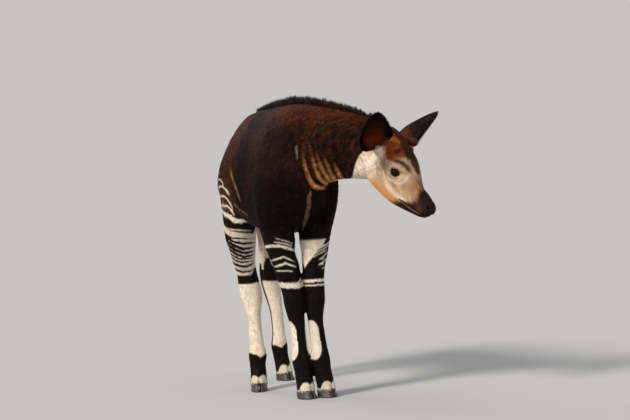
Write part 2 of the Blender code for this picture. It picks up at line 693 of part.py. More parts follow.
def shape_face(local):
    """Nostrils with raised rims, and the line of the mouth between its lips."""
    long_way, short_way = NOSTRIL_TILT
    along_outward, brow_outward, side_outward = NOSTRIL_OUTWARD
    for side in (-1, 1):
        here = np.sign(local[:, 2]) == side
        offset = local - np.array([*NOSTRIL[:2], side * NOSTRIL[2]])
        along = (offset[:, 0] * long_way - offset[:, 1] * short_way) / NOSTRIL_HALF[0]
        across = (offset[:, 1] * long_way + offset[:, 0] * short_way) / NOSTRIL_HALF[1]
        slit = np.hypot(along, across)
        pit = smooth_step(1.25 - slit) * here
        place, spread, height = NOSTRIL_RIM
        off_middle = np.abs(local[:, 2]) > 3 * MIDLINE
        rim = np.exp(-(((slit - place) / spread) ** 2)) * here * off_middle
        lift = rim * height - pit * NOSTRIL_DEPTH
        local = local + np.outer(lift, (along_outward, brow_outward, side * side_outward))
    gap, share = line_distance(local[:, :2], MOUTH)
    fade = smooth_step(share * 8) * (np.abs(local[:, 2]) > MIDLINE)
    half_width, depth = MOUTH_GROOVE
    groove = np.exp(-((gap / half_width) ** 2)) * fade * depth
    distance, half_width, height = LIPS
    lips = np.exp(-(((gap - distance) / half_width) ** 2)) * fade * height
    start, length = MUZZLE_FRONT
    front = smooth_step((local[:, 0] - start) / length)
    local[:, 2] += np.sign(local[:, 2]) * (lips - groove) * (1 - front)
    local[:, 0] += (lips - groove) * front
    return local


def detail(gap, reach, fade, kept):
    """How much of the skin's detail is kept at each distance from a feature."""
    return kept * smooth_step((reach - gap) / fade)


def detail_weights(local):
    """For each point of the head, how strongly its triangles are kept."""
    mirrored = np.column_stack([local[:, :2], np.abs(local[:, 2])])
    eye_gap = np.linalg.norm(mirrored - np.array(EYE_PLACE), axis=1)
    nostril_gap = np.linalg.norm(mirrored - np.array(NOSTRIL), axis=1)
    bud_gap = np.linalg.norm(mirrored - np.array(BUD_PLACE), axis=1)
    mouth_gap, _ = line_distance(local[:, :2], MOUTH)
    face_start, face_kept = FACE_DETAIL
    return np.maximum.reduce([
        detail(eye_gap, *EYE_DETAIL),
        detail(nostril_gap, *NOSTRIL_DETAIL),
        detail(mouth_gap, *MOUTH_DETAIL) * (local[:, 0] > MOUTH[0][0] - LIP_REGION),
        detail(bud_gap, *BUD_DETAIL),
        face_kept * (local[:, 0] > face_start),
    ])


def refine_lips(head):
    """Halves the edges near the line of the mouth."""
    shape = bmesh.new()
    shape.from_mesh(head.data)
    shape.edges.ensure_lookup_table()
    middles = to_head([(edge.verts[0].co + edge.verts[1].co) / 2 for edge in shape.edges])
    gap, _ = line_distance(middles[:, :2], MOUTH)
    near = (gap < LIP_REGION) & (middles[:, 0] > MOUTH[0][0] - LIP_REGION)
    edges = [shape.edges[i] for i in np.flatnonzero(near)]
    bmesh.ops.subdivide_edges(shape, edges=edges, cuts=1, use_grid_fill=True)
    bmesh.ops.triangulate(shape, faces=shape.faces)
    shape.to_mesh(head.data)
    shape.free()


def make_head(material):
    """Skull, jaw and the neck's end melted into one skin, shaped, cut off, and opened for ears and eyes."""
    head = join_all("head", [neck_shell(HEAD_NECK_ROW, NECK_END_GRID)] + head_shells())
    melt(head, HEAD_VOXEL, HEAD_ROUNDS)
    refine_lips(head)
    local = shape_face(to_head(points_of(head)))
    put_points(head, from_head(local))
    group = head.vertex_groups.new(name="detail")
    for index, weight in enumerate(detail_weights(local)):
        group.add([index], float(weight), "REPLACE")
    thin_out(head, HEAD_SHARE, "detail")
    keep_side(head, NECK_END, NECK_END_WAY)
    for name in EARS:
        seat_ear(head, name)
    for side in (-1, 1):
        opening = lid_opening(side)
        boolean(head, opening, "DIFFERENCE", solver="MANIFOLD")
        ball = eye_ball("socket", side, EYE_RADIUS + GAP)
        boolean(head, ball, "DIFFERENCE", solver="MANIFOLD")
        drop(opening, ball)
    largest_surface(head)
    wear(head, material)


def eye_ball(name, side, radius):
    """A ball at an eye's place."""
    points, faces = ball_shell((*EYE_PLACE[:2], side * EYE_PLACE[2]), radius, *EYE_GRID)
    return add_object(name, from_head(points), faces)


def ear_rings(name, grow=0.0, filled=False):
    """Rings of a leaf-shaped cup whose front half sinks into the back half from the root upwards."""
    opening = np.array(EARS[name][2])
    shares = np.linspace(0.0, 1.0, EAR_RINGS)
    line = np.array([ear_line(name, share) for share in shares])
    ways = unit(np.gradient(line, axis=0))
    ways[0] = ear_root_way(name)
    sizes = faired([(share, 0.0, 0.0, *size) for share, *size in EAR_SECTIONS], len(shares))[:, 3:]
    angle = np.linspace(-math.pi / 2, math.pi / 2, EAR_AROUND)
    rings = []
    for share, middle, way, (half, back, hollow) in zip(shares, line, ways, sizes):
        facing = unit(opening - way * (opening @ way))
        side = np.cross(way, facing)
        centre = middle + facing * EAR_FORWARD * back * smooth_step(share * 4)
        wall = min(EAR_WALL, half * 0.4)
        front = min(hollow, -EAR_WALL) - grow if filled else hollow
        reach = half + grow if filled else half - wall
        ring = []
        for k in angle:
            ring.append(centre + side * (half + grow) * math.sin(k) - facing * (back + grow) * math.cos(k))
        for k in angle[-2:0:-1]:
            ring.append(centre + side * reach * math.sin(k) - facing * front * math.cos(k))
        rings.append(ring)
    return np.array(rings)


def make_ear(name, material):
    """An ear's leaf-shaped cup."""
    rings = ear_rings(name)
    rings[0] += ear_root_way(name) * GAP
    faces = ring_faces(*rings.shape[:2])
    return add_object(name, from_head(rings.reshape(-1, 3)), faces, material)


def seat_ear(head, name):
    """Runs the ear's root on into the skull, then clears the ear's own room, so that the two meet flat."""
    way = ear_root_way(name)
    first = ear_rings(name)[0]
    stub = np.concatenate([first - way * EAR_STUB_DEPTH, first + way * EAR_WALL])
    root = add_object("root", from_head(stub), ring_faces(2, len(first)))
    boolean(head, root, "UNION", solver="MANIFOLD")
    rings = ear_rings(name, grow=2 * GAP, filled=True)
    room = add_object("room", from_head(rings.reshape(-1, 3)), ring_faces(*rings.shape[:2]))
    boolean(head, room, "DIFFERENCE", solver="MANIFOLD")
    drop(root, room)


def make_leg(name, material):
    """The leg below the trunk, cut level at its top and over the claws."""
    rows = leg_rows(name)[LIMB_FIRST_ROW:]
    leg = add_object("leg_" + name, *loft(rows, *LIMB_GRID, heading(LEGS[name][1])), material)
    keep_side(leg, (0, 0, HOOF_HEIGHT), (0, 0, 1), gap=GAP)
    keep_side(leg, (0, 0, LIMB_CUT), (0, 0, -1))


def make_hoof(name, side, material):
    """One claw of a cloven hoof: flat sole, straight inner wall, curved outer wall, sloping toe."""
    rows, turn = LEGS[name]
    ahead = heading(turn)
    left = heading(turn + 90.0)
    ground = np.array([rows[-1][1], rows[-1][2], 0.0])
    splay_start, splay = CLAW_SPLAY
    toe, narrowing = CLAW_NARROWING
    points = []
    for height, shrink, slide in CLAW_LEVELS:
        for t in np.linspace(0, math.pi, CLAW_POINTS):
            along = CLAW_HEEL + CLAW_LENGTH * (1 - math.cos(t)) / 2
            half = CLAW_WIDTH * math.sin(t) ** CLAW_ROUNDNESS * shrink
            inner = CLAW_CLEFT + max(0.0, along - splay_start) * splay
            across = side * (inner + half * (1 - narrowing * max(0.0, along) / toe))
            forward = along * shrink + slide
            points.append(ground + ahead * forward + left * across + np.array([0.0, 0.0, height]))
    faces = ring_faces(len(CLAW_LEVELS), CLAW_POINTS)
    add_object(f"hoof_{name}_{'left' if side > 0 else 'right'}_claw", points, faces, material)


def crest_points():
    """The top line of the back and neck, from the loins to the poll."""
    last, first = MANE_TRUNK_ROWS
    back = [(0.0, row[0], row[1]) for row in TRUNK[last:first - 1:-1]]
    neck = [(row[0], row[1], row[2]) for row in NECK[MANE_NECK_ROWS[0]:MANE_NECK_ROWS[1]]]
    return np.array(back + neck)


def lock(root, along, wide, bend, length, width, thickness, sink):
    """A flat tapered lock of four sides: it leaves the skin along one way and bends over towards another."""
    across = unit(np.cross(along, wide))
    points = []
    for share in LOCK_RINGS:
        narrow = max(1.0 - share**LOCK_FULLNESS, LOCK_TIP)
        middle = root + along * (length * share - sink * (1 - share)) + bend * length * share**2
        for way, half in ((wide, width), (across, thickness), (-wide, width), (-across, thickness)):
            points.append(middle + way * half / 2 * narrow)
    return points, ring_faces(len(LOCK_RINGS), 4)


def mane_locks(rng):
    """Locks in a staggered row along the crest, each with its own height, width and lean."""
    crest = crest_points()
    line = faired(np.column_stack([crest, np.zeros(len(crest))]), CREST_STEPS)[:, :3]
    ways = unit(np.gradient(line, axis=0))
    locks = []
    for index in range(MANE_LOCKS):
        share = (index + rng.uniform(-LOCK_STAGGER, LOCK_STAGGER)) / (MANE_LOCKS - 1) * MANE_LAST
        place = int(np.clip(share, 0, 1) * (len(line) - 1))
        forward = ways[place]
        left = unit(np.cross((0.0, 0.0, 1.0), forward))
        up = np.cross(forward, left)
        side = 1 if index % 2 else -1
        height = np.interp(share, MANE_SHARES, MANE_HEIGHTS) * rng.uniform(*LOCK_VARY)
        along = unit(up + left * side * rng.uniform(*SPLAY))
        lean = LOCK_LEAN * rng.uniform(*LEAN_VARY)
        bend = -forward * lean + left * rng.uniform(-SIDE_BEND, SIDE_BEND)
        root = line[place] + left * side * LOCK_SPREAD
        width = LOCK_WIDTH * rng.uniform(*WIDTH_VARY)
        locks.append(lock(root, along, forward, bend, height, width, LOCK_THICKNESS, LOCK_SINK))
    return locks


def tuft_locks(rng):
    """Locks that hang round the end of the tail and come together below it."""
    end = np.array(TAIL_PATH[-1])
    down = unit(end - np.array(TAIL_PATH[-2]))
    locks = []
    for index in range(TUFT_LOCKS):
        turn = index * GOLDEN_TURN
        rise = np.interp(index / (TUFT_LOCKS - 1), (0, 1), TUFT_RISE)
        out = np.array([math.cos(turn), math.sin(turn), 0.0])
        wide = unit(np.cross(down, out))
        root = end - down * rise + out * TAIL_RADII[-1] * 0.4
        along = unit(down + out * rng.uniform(*TUFT_SPLAY))
        length = TUFT_LENGTH * rng.uniform(*LOCK_VARY)
        bend = -out * TUFT_CLOSING
        locks.append(lock(root, along, wide, bend, length, TUFT_WIDTH, TUFT_WIDTH * 0.4, TUFT_SINK))
    return locks


def fuse(obj, shells):
    """Joins closed shells to an object in one union and keeps the largest closed surface."""
    group = bpy.data.collections.new("locks")
    for points, faces in shells:
        piece = add_object("lock", points, faces)
        bpy.context.scene.collection.objects.unlink(piece)
        group.objects.link(piece)
    bpy.context.scene.collection.children.link(group)
    union = obj.modifiers.new("Fuse", "BOOLEAN")
    union.operation = "UNION"
    union.solver = "MANIFOLD"
    union.operand_type = "COLLECTION"
    union.collection = group
    settle(obj)
    drop(*group.objects)
    bpy.data.collections.remove(group)
    return largest_surface(obj)


def tail_shell():
    """The bare tail, from inside the rump to its end."""
    rows = [(*place, r, r, r) for place, r in zip((TAIL_START,) + TAIL_PATH, TAIL_RADII[:1] + TAIL_RADII)]
    return loft(rows, *TAIL_GRID, TAIL_HINT)


def make_tail(material, rng):
    """The tail from the rump on, with its tuft."""
    tail = add_object("tail", *tail_shell(), material)
    fuse(tail, tuft_locks(rng))
    keep_side(tail, TAIL_CUT, TAIL_CUT_WAY)


def make_body():
    """Trunk, neck, the upper legs and the tail's root melted into one skin."""
    shells = [trunk_shell(), neck_shell(0, NECK_GRID)]
    for name in LEGS:
        rows = leg_rows(name)
        rows[:, 3:] *= STUB_GROWTH
        shells.append(loft(rows[:LIMB_BODY_ROWS], *LIMB_TOP_GRID, heading(LEGS[name][1])))
    tail_root = [(*place, r, r, r) for place, r in TAIL_ROOT]
    shells.append(loft(tail_root, *TAIL_ROOT_GRID, TAIL_HINT))
    body = join_all("body", shells)
    melt(body, BODY_VOXEL, BODY_ROUNDS)
    thin_out(body, BODY_SHARE)
    return body


def part_body(body, neck_coat, coat):
    """The body's skin cut into neck and torso, with the legs, the head and the tail cut off."""
    neck = copy_of(body, "neck")
    keep_side(neck, NECK_START, NECK_START_WAY)
    drop_side(neck, NECK_END, NECK_END_WAY)
    largest_surface(neck)
    wear(neck, neck_coat)
    torso = copy_of(body, "torso")
    drop_side(torso, NECK_START, NECK_START_WAY)
    keep_side(torso, (0, 0, LIMB_CUT), UPWARDS)
    drop_side(torso, TAIL_CUT, TAIL_CUT_WAY)
    largest_surface(torso)
    wear(torso, coat)
    drop(body)


def wear(obj, material):
    """Gives an object one material and no other."""
    obj.data.materials.clear()
    obj.data.materials.append(material)


def main():
    for obj in list(bpy.data.objects):
        bpy.data.objects.remove(obj)
    coat = finish("dark coat", COAT_COLOUR, 0.75)
    neck_coat = finish("neck coat", NECK_COLOUR, 0.75)
    ear_coat = finish("ear coat", EAR_COLOUR, 0.8)
    tail_coat = finish("tail coat", MANE_COLOUR, 0.75)
    face = finish("face coat", FACE_COLOUR, 0.8)
    leg_coat = finish("banded leg coat", LEG_COLOUR, 0.8)
    horn = finish("hoof horn", HORN_COLOUR, 0.45)
    eye = finish("wet eye", EYE_COLOUR, 0.08)

    rng = np.random.default_rng(SEED)
    body = make_body()
    fuse(body, [tail_shell()] + mane_locks(rng))
    part_body(body, neck_coat, coat)
    make_head(face)
    for name in EARS:
        make_ear(name, ear_coat)
    for side, name in ((-1, "eye_right"), (1, "eye_left")):
        wear(eye_ball(name, side, EYE_RADIUS), eye)
    for name in LEGS:
        make_leg(name, leg_coat)
        for side in (-1, 1):
            make_hoof(name, side, horn)
    make_tail(tail_coat, rng)

    for obj in bpy.data.objects:
        put_points(obj, points_of(obj) + np.array(ORIGIN_SHIFT))
        obj.data.shade_smooth()
        obj.data.set_sharp_from_angle(angle=math.radians(SHARP_ANGLE))


main()
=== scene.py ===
import math

import bmesh
import bpy
import numpy as np
from mathutils import Matrix


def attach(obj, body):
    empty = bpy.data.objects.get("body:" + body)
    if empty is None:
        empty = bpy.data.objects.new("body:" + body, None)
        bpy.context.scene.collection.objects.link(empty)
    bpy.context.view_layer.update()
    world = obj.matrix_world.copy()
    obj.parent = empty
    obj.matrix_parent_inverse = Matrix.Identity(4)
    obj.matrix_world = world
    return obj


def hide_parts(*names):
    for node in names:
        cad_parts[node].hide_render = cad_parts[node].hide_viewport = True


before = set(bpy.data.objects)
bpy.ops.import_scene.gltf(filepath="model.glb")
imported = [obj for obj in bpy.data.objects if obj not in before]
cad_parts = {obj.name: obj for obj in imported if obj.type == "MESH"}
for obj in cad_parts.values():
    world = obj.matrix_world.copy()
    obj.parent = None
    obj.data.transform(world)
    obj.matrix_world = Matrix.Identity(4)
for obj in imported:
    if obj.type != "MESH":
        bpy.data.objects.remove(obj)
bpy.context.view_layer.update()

bl_info = {
    "name": "Okapi Calf",
    "version": (1, 0, 0),
    "blender": (4, 5, 0),
    "location": "3D View > Sidebar > Okapi",
    "description": "Dresses the solids of a standing okapi calf with skin, coat, mane, eyes and hooves",
    "category": "Object",
}

SEED = 11

# Driving dimensions, in metres
ORIGIN_SHIFT = (-0.1353, 0.1336, 0.0)  # moves the design frame so that the box's bottom centre is the origin
HOOF_HEIGHT = 0.027
# Where the neck leaves the trunk and meets the head, and where the tail leaves the rump
NECK_START = (0.020, -0.376, 0.93)
NECK_START_WAY = (0.20, -0.93, 0.31)
NECK_END = (0.180, -0.553, 0.94)
NECK_END_WAY = (0.63, -0.71, -0.30)
# Trunk sections, front to back: place along Y, top, bottom, height of the widest line, half width, fullness above
TRUNK = (
    (-0.392, 0.925, 0.785, 0.850, 0.036, 2.0),
    (-0.365, 0.975, 0.748, 0.845, 0.072, 2.0),
    (-0.320, 1.050, 0.712, 0.835, 0.102, 1.9),
    (-0.250, 1.106, 0.668, 0.815, 0.128, 1.8),
    (-0.170, 1.112, 0.630, 0.810, 0.140, 1.8),
    (-0.080, 1.104, 0.615, 0.810, 0.150, 1.75),
    (0.020, 1.096, 0.626, 0.810, 0.160, 1.7),
    (0.120, 1.085, 0.643, 0.805, 0.157, 1.6),
    (0.210, 1.072, 0.668, 0.800, 0.144, 1.5),
    (0.300, 1.052, 0.690, 0.803, 0.128, 1.4),
    (0.370, 1.020, 0.712, 0.810, 0.108, 1.45),
    (0.420, 0.980, 0.738, 0.820, 0.082, 1.7),
    (0.450, 0.930, 0.775, 0.828, 0.045, 2.0),
)
TRUNK_FULLNESS_BELOW = 2.2
# Neck sections, withers to poll: X, Y, crest height, throat height, half width
NECK = (
    (0.000, -0.200, 1.112, 0.780, 0.092),
    (0.020, -0.290, 1.120, 0.790, 0.094),
    (0.050, -0.366, 1.116, 0.808, 0.086),
    (0.089, -0.440, 1.101, 0.825, 0.077),
    (0.135, -0.501, 1.081, 0.830, 0.070),
    (0.183, -0.556, 1.056, 0.827, 0.064),
    (0.224, -0.600, 1.031, 0.828, 0.058),
    (0.250, -0.629, 1.007, 0.848, 0.050),
)
# Leg sections, top to bottom: height, X, Y, half width, reach to the front, reach to the back
FORE_RIGHT = (
    (0.960, -0.050, -0.170, 0.028, 0.040, 0.050),
    (0.890, -0.077, -0.205, 0.043, 0.088, 0.085),
    (0.820, -0.090, -0.236, 0.049, 0.105, 0.100),
    (0.760, -0.091, -0.234, 0.051, 0.098, 0.098),
    (0.700, -0.086, -0.217, 0.053, 0.082, 0.084),
    (0.645, -0.077, -0.206, 0.055, 0.067, 0.066),
    (0.600, -0.068, -0.203, 0.057, 0.058, 0.056),
    (0.560, -0.065, -0.206, 0.052, 0.052, 0.050),
    (0.500, -0.052, -0.212, 0.0500, 0.0480, 0.0470),
    (0.450, -0.0425, -0.216, 0.0445, 0.0430, 0.0430),
    (0.405, -0.0360, -0.2185, 0.0405, 0.0430, 0.0410),
    (0.370, -0.0335, -0.2175, 0.0395, 0.0415, 0.0395),
    (0.335, -0.0300, -0.2145, 0.0345, 0.0345, 0.0385),
    (0.295, -0.0245, -0.2125, 0.0290, 0.0285, 0.0340),
    (0.240, -0.0215, -0.2115, 0.0285, 0.0265, 0.0325),
    (0.185, -0.0205, -0.2125, 0.0305, 0.0285, 0.0355),
    (0.145, -0.0195, -0.2145, 0.0345, 0.0325, 0.0405),
    (0.110, -0.0190, -0.2205, 0.0330, 0.0325, 0.0360),
    (0.075, -0.0190, -0.2280, 0.0325, 0.0340, 0.0335),
    (0.045, -0.0190, -0.2325, 0.0332, 0.0390, 0.0330),
    (0.0275, -0.019, -0.234, 0.0330, 0.042, 0.034),
)
FORE_LEFT = (
    (0.960, 0.052, -0.185, 0.028, 0.040, 0.050),
    (0.890, 0.074, -0.215, 0.042, 0.088, 0.085),
    (0.820, 0.086, -0.245, 0.046, 0.103, 0.100),
    (0.760, 0.085, -0.245, 0.047, 0.096, 0.098),
    (0.700, 0.081, -0.234, 0.049, 0.081, 0.084),
    (0.645, 0.072, -0.225, 0.053, 0.067, 0.066),
    (0.600, 0.064, -0.224, 0.056, 0.058, 0.056),
    (0.560, 0.060, -0.228, 0.053, 0.052, 0.050),
    (0.500, 0.050, -0.234, 0.0430, 0.0440, 0.0450),
    (0.450, 0.044, -0.239, 0.0395, 0.0410, 0.0430),
    (0.405, 0.0425, -0.2425, 0.0380, 0.0415, 0.0400),
    (0.370, 0.0415, -0.2425, 0.0370, 0.0405, 0.0395),
    (0.335, 0.0400, -0.2410, 0.0335, 0.0340, 0.0380),
    (0.295, 0.0405, -0.2390, 0.0280, 0.0285, 0.0340),
    (0.240, 0.0435, -0.2405, 0.0280, 0.0270, 0.0330),
    (0.185, 0.0460, -0.2430, 0.0305, 0.0290, 0.0360),
    (0.145, 0.0480, -0.2450, 0.0345, 0.0335, 0.0410),
    (0.110, 0.0495, -0.2485, 0.0330, 0.0330, 0.0365),
    (0.075, 0.0515, -0.2530, 0.0325, 0.0345, 0.0340),
    (0.045, 0.0545, -0.2565, 0.0332, 0.0390, 0.0330),
    (0.0275, 0.055, -0.258, 0.0330, 0.042, 0.034),
)
HIND_RIGHT = (
    (0.935, -0.030, 0.322, 0.034, 0.066, 0.066),
    (0.870, -0.056, 0.302, 0.052, 0.114, 0.122),
    (0.800, -0.072, 0.272, 0.056, 0.128, 0.138),
    (0.740, -0.078, 0.240, 0.057, 0.115, 0.130),
    (0.690, -0.081, 0.220, 0.058, 0.097, 0.112),
    (0.645, -0.082, 0.210, 0.058, 0.082, 0.092),
    (0.600, -0.081, 0.210, 0.058, 0.069, 0.075),
    (0.560, -0.076, 0.216, 0.053, 0.058, 0.064),
    (0.500, -0.067, 0.232, 0.044, 0.045, 0.052),
    (0.455, -0.0560, 0.2435, 0.0390, 0.0390, 0.0490),
    (0.425, -0.0520, 0.2450, 0.0410, 0.0400, 0.0510),
    (0.385, -0.0505, 0.2365, 0.0445, 0.0410, 0.0450),
    (0.350, -0.0500, 0.2225, 0.0415, 0.0370, 0.0410),
    (0.315, -0.0545, 0.2042, 0.0315, 0.0295, 0.0360),
    (0.280, -0.0585, 0.1895, 0.0265, 0.0260, 0.0320),
    (0.230, -0.0625, 0.1735, 0.0255, 0.0240, 0.0300),
    (0.180, -0.0655, 0.1592, 0.0275, 0.0255, 0.0325),
    (0.133, -0.0700, 0.1463, 0.0350, 0.0320, 0.0400),
    (0.105, -0.074, 0.141, 0.0310, 0.028, 0.033),
    (0.075, -0.076, 0.134, 0.0310, 0.030, 0.031),
    (0.045, -0.079, 0.127, 0.0320, 0.038, 0.032),
    (0.0275, -0.081, 0.124, 0.0330, 0.042, 0.034),
)
HIND_LEFT = (
    (0.935, 0.030, 0.327, 0.034, 0.066, 0.066),
    (0.870, 0.056, 0.308, 0.052, 0.114, 0.122),
    (0.800, 0.073, 0.282, 0.056, 0.130, 0.136),
    (0.740, 0.080, 0.270, 0.057, 0.120, 0.128),
    (0.690, 0.084, 0.272, 0.058, 0.102, 0.112),
    (0.645, 0.086, 0.284, 0.059, 0.084, 0.094),
    (0.600, 0.086, 0.305, 0.060, 0.069, 0.075),
    (0.560, 0.087, 0.330, 0.052, 0.056, 0.062),
    (0.500, 0.088, 0.372, 0.042, 0.043, 0.050),
    (0.455, 0.096, 0.404, 0.034, 0.037, 0.048),
    (0.425, 0.099, 0.420, 0.034, 0.037, 0.050),
    (0.385, 0.104, 0.426, 0.036, 0.037, 0.043),
    (0.350, 0.108, 0.422, 0.033, 0.033, 0.039),
    (0.315, 0.110, 0.413, 0.029, 0.027, 0.034),
    (0.280, 0.111, 0.403, 0.0260, 0.024, 0.030),
    (0.230, 0.110, 0.392, 0.0250, 0.022, 0.028),
    (0.180, 0.107, 0.381, 0.0260, 0.023, 0.030),
    (0.133, 0.103, 0.372, 0.0320, 0.030, 0.038),
    (0.105, 0.103, 0.368, 0.0300, 0.028, 0.033),
    (0.075, 0.105, 0.364, 0.0300, 0.030, 0.031),
    (0.045, 0.107, 0.358, 0.0310, 0.038, 0.032),
    (0.0275, 0.108, 0.356, 0.0320, 0.042, 0.034),
)
STUB_GROWTH = 1.07  # the legs' upper ends are this much thicker before the smoothing thins them
# Each leg: its sections, and the way its knee and toes point, in degrees left of straight ahead
LEGS = {
    "front_right": (FORE_RIGHT, 18.0),
    "front_left": (FORE_LEFT, 18.0),
    "hind_right": (HIND_RIGHT, -16.0),
    "hind_left": (HIND_LEFT, 12.0),
}
# Head frame: the poll, the way the face points, and how far it hangs below level
POLL = (0.262, -0.6475, 1.005)
FACE_HEADING = 35.0
FACE_DROP = 63.7
# Skull and muzzle sections: along the face, brow side, under side, half width
SKULL = (
    (-0.020, -0.016, -0.120, 0.044),
    (0.020, 0.001, -0.134, 0.054),
    (0.060, 0.006, -0.138, 0.059),
    (0.100, 0.009, -0.136, 0.0620),
    (0.140, 0.010, -0.126, 0.0600),
    (0.175, 0.002, -0.114, 0.0515),
    (0.210, -0.009, -0.100, 0.0425),
    (0.240, -0.014, -0.088, 0.0365),
    (0.268, -0.008, -0.078, 0.0345),
    (0.300, -0.004, -0.068, 0.0335),
    (0.322, -0.005, -0.058, 0.0285),
    (0.336, -0.016, -0.046, 0.0170),
)
# Lower jaw: along the face, depth below the brow line, half width, radius up, radius down
JAW = (
    (0.040, -0.130, 0.049, 0.075, 0.058),
    (0.085, -0.145, 0.052, 0.082, 0.056),
    (0.130, -0.142, 0.049, 0.078, 0.047),
    (0.172, -0.133, 0.043, 0.062, 0.041),
    (0.210, -0.118, 0.036, 0.046, 0.038),
    (0.250, -0.097, 0.029, 0.035, 0.031),
    (0.286, -0.077, 0.026, 0.028, 0.023),
    (0.316, -0.058, 0.021, 0.020, 0.017),
    (0.332, -0.049, 0.011, 0.010, 0.010),
)
EYE_PLACE = (0.1420, -0.0560, 0.0465)  # along the face, below the brow line, to the side
EYE_RADIUS = 0.0175
LID_THICKNESS = 0.0028
EYE_OPENING = (0.0160, 0.0115)  # half length and half height
EYE_OUTWARD = (0.10, 0.22)  # how far an eye looks down the face and up, for one to the side
EYE_SLANT = (0.80, 0.60)  # from the back corner of an eye to its front corner
ALMOND_POINT = 1.25
BUD_PLACE = (0.082, -0.002, 0.034)  # the small horn buds of a calf
BUD_RADIUS = 0.013
NOSTRIL = (0.318, -0.016, 0.024)
# The line of the mouth: along the face, below the brow line
MOUTH = (
    (0.228, -0.1065),
    (0.250, -0.0940),
    (0.280, -0.0770),
    (0.305, -0.0610),
    (0.326, -0.0430),
    (0.345, -0.0300),
)
# Ears: where each leaves the skull, its tip, both in the head frame, and the way its cup opens
EARS = {
    "ear_right": ((0.030, -0.062, -0.072), (-0.055, 0.058, -0.168), (0.80, 0.40, -0.45)),
    "ear_left": ((0.030, -0.062, 0.072), (0.000, 0.112, 0.128), (0.72, -0.46, 0.50)),
}
EAR_ROOT_WAY = (-0.40, 0.30, 0.87)  # how an ear leaves the skull, for the left one
EAR_ROOT_REACH = 0.048
EAR_ROOT = ((-0.045, 0.030), (-0.020, 0.028), (-0.002, 0.023))  # depth and radius of the swelling round it
EAR_STUB_DEPTH = 0.034  # how far an ear's root runs on inside the skull
# Ear sections: share of the length, half width, depth of the back, depth of the hollow (negative: still closed)
EAR_SECTIONS = (
    (0.00, 0.024, 0.021, -0.019),
    (0.08, 0.029, 0.025, -0.012),
    (0.18, 0.043, 0.031, 0.010),
    (0.32, 0.059, 0.034, 0.028),
    (0.48, 0.065, 0.031, 0.0265),
    (0.64, 0.059, 0.025, 0.0205),
    (0.80, 0.046, 0.017, 0.0130),
    (0.92, 0.030, 0.010, 0.0060),
    (1.00, 0.011, 0.003, 0.0005),
)
EAR_WALL = 0.0035
EAR_FORWARD = 0.45  # how far the rims stand ahead of the middle line, in depths of the back
# Tail: where it leaves the rump, its lengths and radii
TAIL_PATH = (
    (0.000, 0.448, 0.925),
    (0.000, 0.478, 0.880),
    (0.002, 0.488, 0.800),
    (0.004, 0.484, 0.700),
    (0.006, 0.480, 0.620),
)
TAIL_RADII = (0.022, 0.017, 0.012, 0.010, 0.008)
TAIL_ROOT = (((0.0, 0.400, 0.960), 0.034), ((0.0, 0.440, 0.932), 0.028))  # the rump's swelling under the tail
TAIL_START = (0.0, 0.420, 0.953)
# Mane: its ends along the crest as rows of TRUNK and NECK, and its locks
MANE_TRUNK_ROWS = (7, 4)  # from the loins to the withers
MANE_NECK_ROWS = (1, 7)
MANE_SHARES = (0.0, 0.10, 0.30, 0.50, 0.80, 1.0)
MANE_HEIGHTS = (0.012, 0.018, 0.027, 0.029, 0.025, 0.021)  # over the skin, at those shares of the way
MANE_LAST = 0.975  # share of the crest where the last lock stands
MANE_CLUMPS = 95
TUFT_RISE = (0.055, 0.0)  # highest and lowest root over the end of the tail
TUFT_LENGTH = 0.085
EAR_SKIN_WALL = 0.0026
# Loose folds at the foot of the neck, each a line of points on the skin
NECK_FOLDS = (
    ((-0.026, -0.409, 0.990), (-0.022, -0.411, 0.965), (-0.023, -0.406, 0.927), (-0.018, -0.404, 0.890),
     (-0.003, -0.397, 0.843), (0.014, -0.400, 0.812), (0.046, -0.397, 0.799), (0.091, -0.363, 0.800)),
    ((-0.010, -0.427, 0.994), (-0.007, -0.435, 0.964), (-0.001, -0.441, 0.926), (0.008, -0.440, 0.885),
     (0.025, -0.430, 0.845), (0.054, -0.410, 0.820), (0.098, -0.355, 0.808)),
    ((0.007, -0.456, 0.948), (0.015, -0.460, 0.911), (0.027, -0.461, 0.876), (0.052, -0.452, 0.840), (0.113, -0.349, 0.816)),
    ((0.028, -0.482, 0.929), (0.036, -0.485, 0.902), (0.050, -0.482, 0.867), (0.072, -0.461, 0.835), (0.110, -0.400, 0.830)),
    ((0.055, -0.510, 0.908), (0.065, -0.507, 0.878), (0.083, -0.496, 0.846), (0.110, -0.450, 0.838)),
)
# Marks on the body: a line, its half width and its tone
BODY_MARKS = (
    (((-0.039, -0.381, 0.968), (-0.0385, -0.3815, 0.938), (-0.038, -0.381, 0.914)), 0.0017, "slit", 1.00),
    (((0.000, -0.401, 0.800), (-0.007, -0.392, 0.769), (-0.002, -0.372, 0.737), (0.000, -0.339, 0.706),
      (0.013, -0.276, 0.671), (0.013, -0.236, 0.639)), 0.0080, "tan", 0.80),
    # painted highlights along the skin folds of the flank, in front of the stifle
    (((-0.149, 0.078, 0.882), (-0.157, 0.039, 0.846), (-0.158, 0.007, 0.813), (-0.155, -0.014, 0.783),
      (-0.151, -0.024, 0.755)), 0.0052, "fold", 0.62),
    (((-0.150, 0.062, 0.744), (-0.146, 0.028, 0.726), (-0.138, -0.006, 0.712), (-0.130, -0.036, 0.699)), 0.0042, "fold", 0.50),
    # painted highlights at the elbow
    (((-0.121, -0.292, 0.738), (-0.100, -0.335, 0.742)), 0.0022, "warm highlight", 0.80),
    (((-0.121, -0.285, 0.724), (-0.098, -0.328, 0.729)), 0.0016, "warm highlight", 0.70),
    (((-0.121, -0.280, 0.708), (-0.100, -0.320, 0.716), (-0.085, -0.330, 0.710)), 0.0018, "pink", 0.35),
)
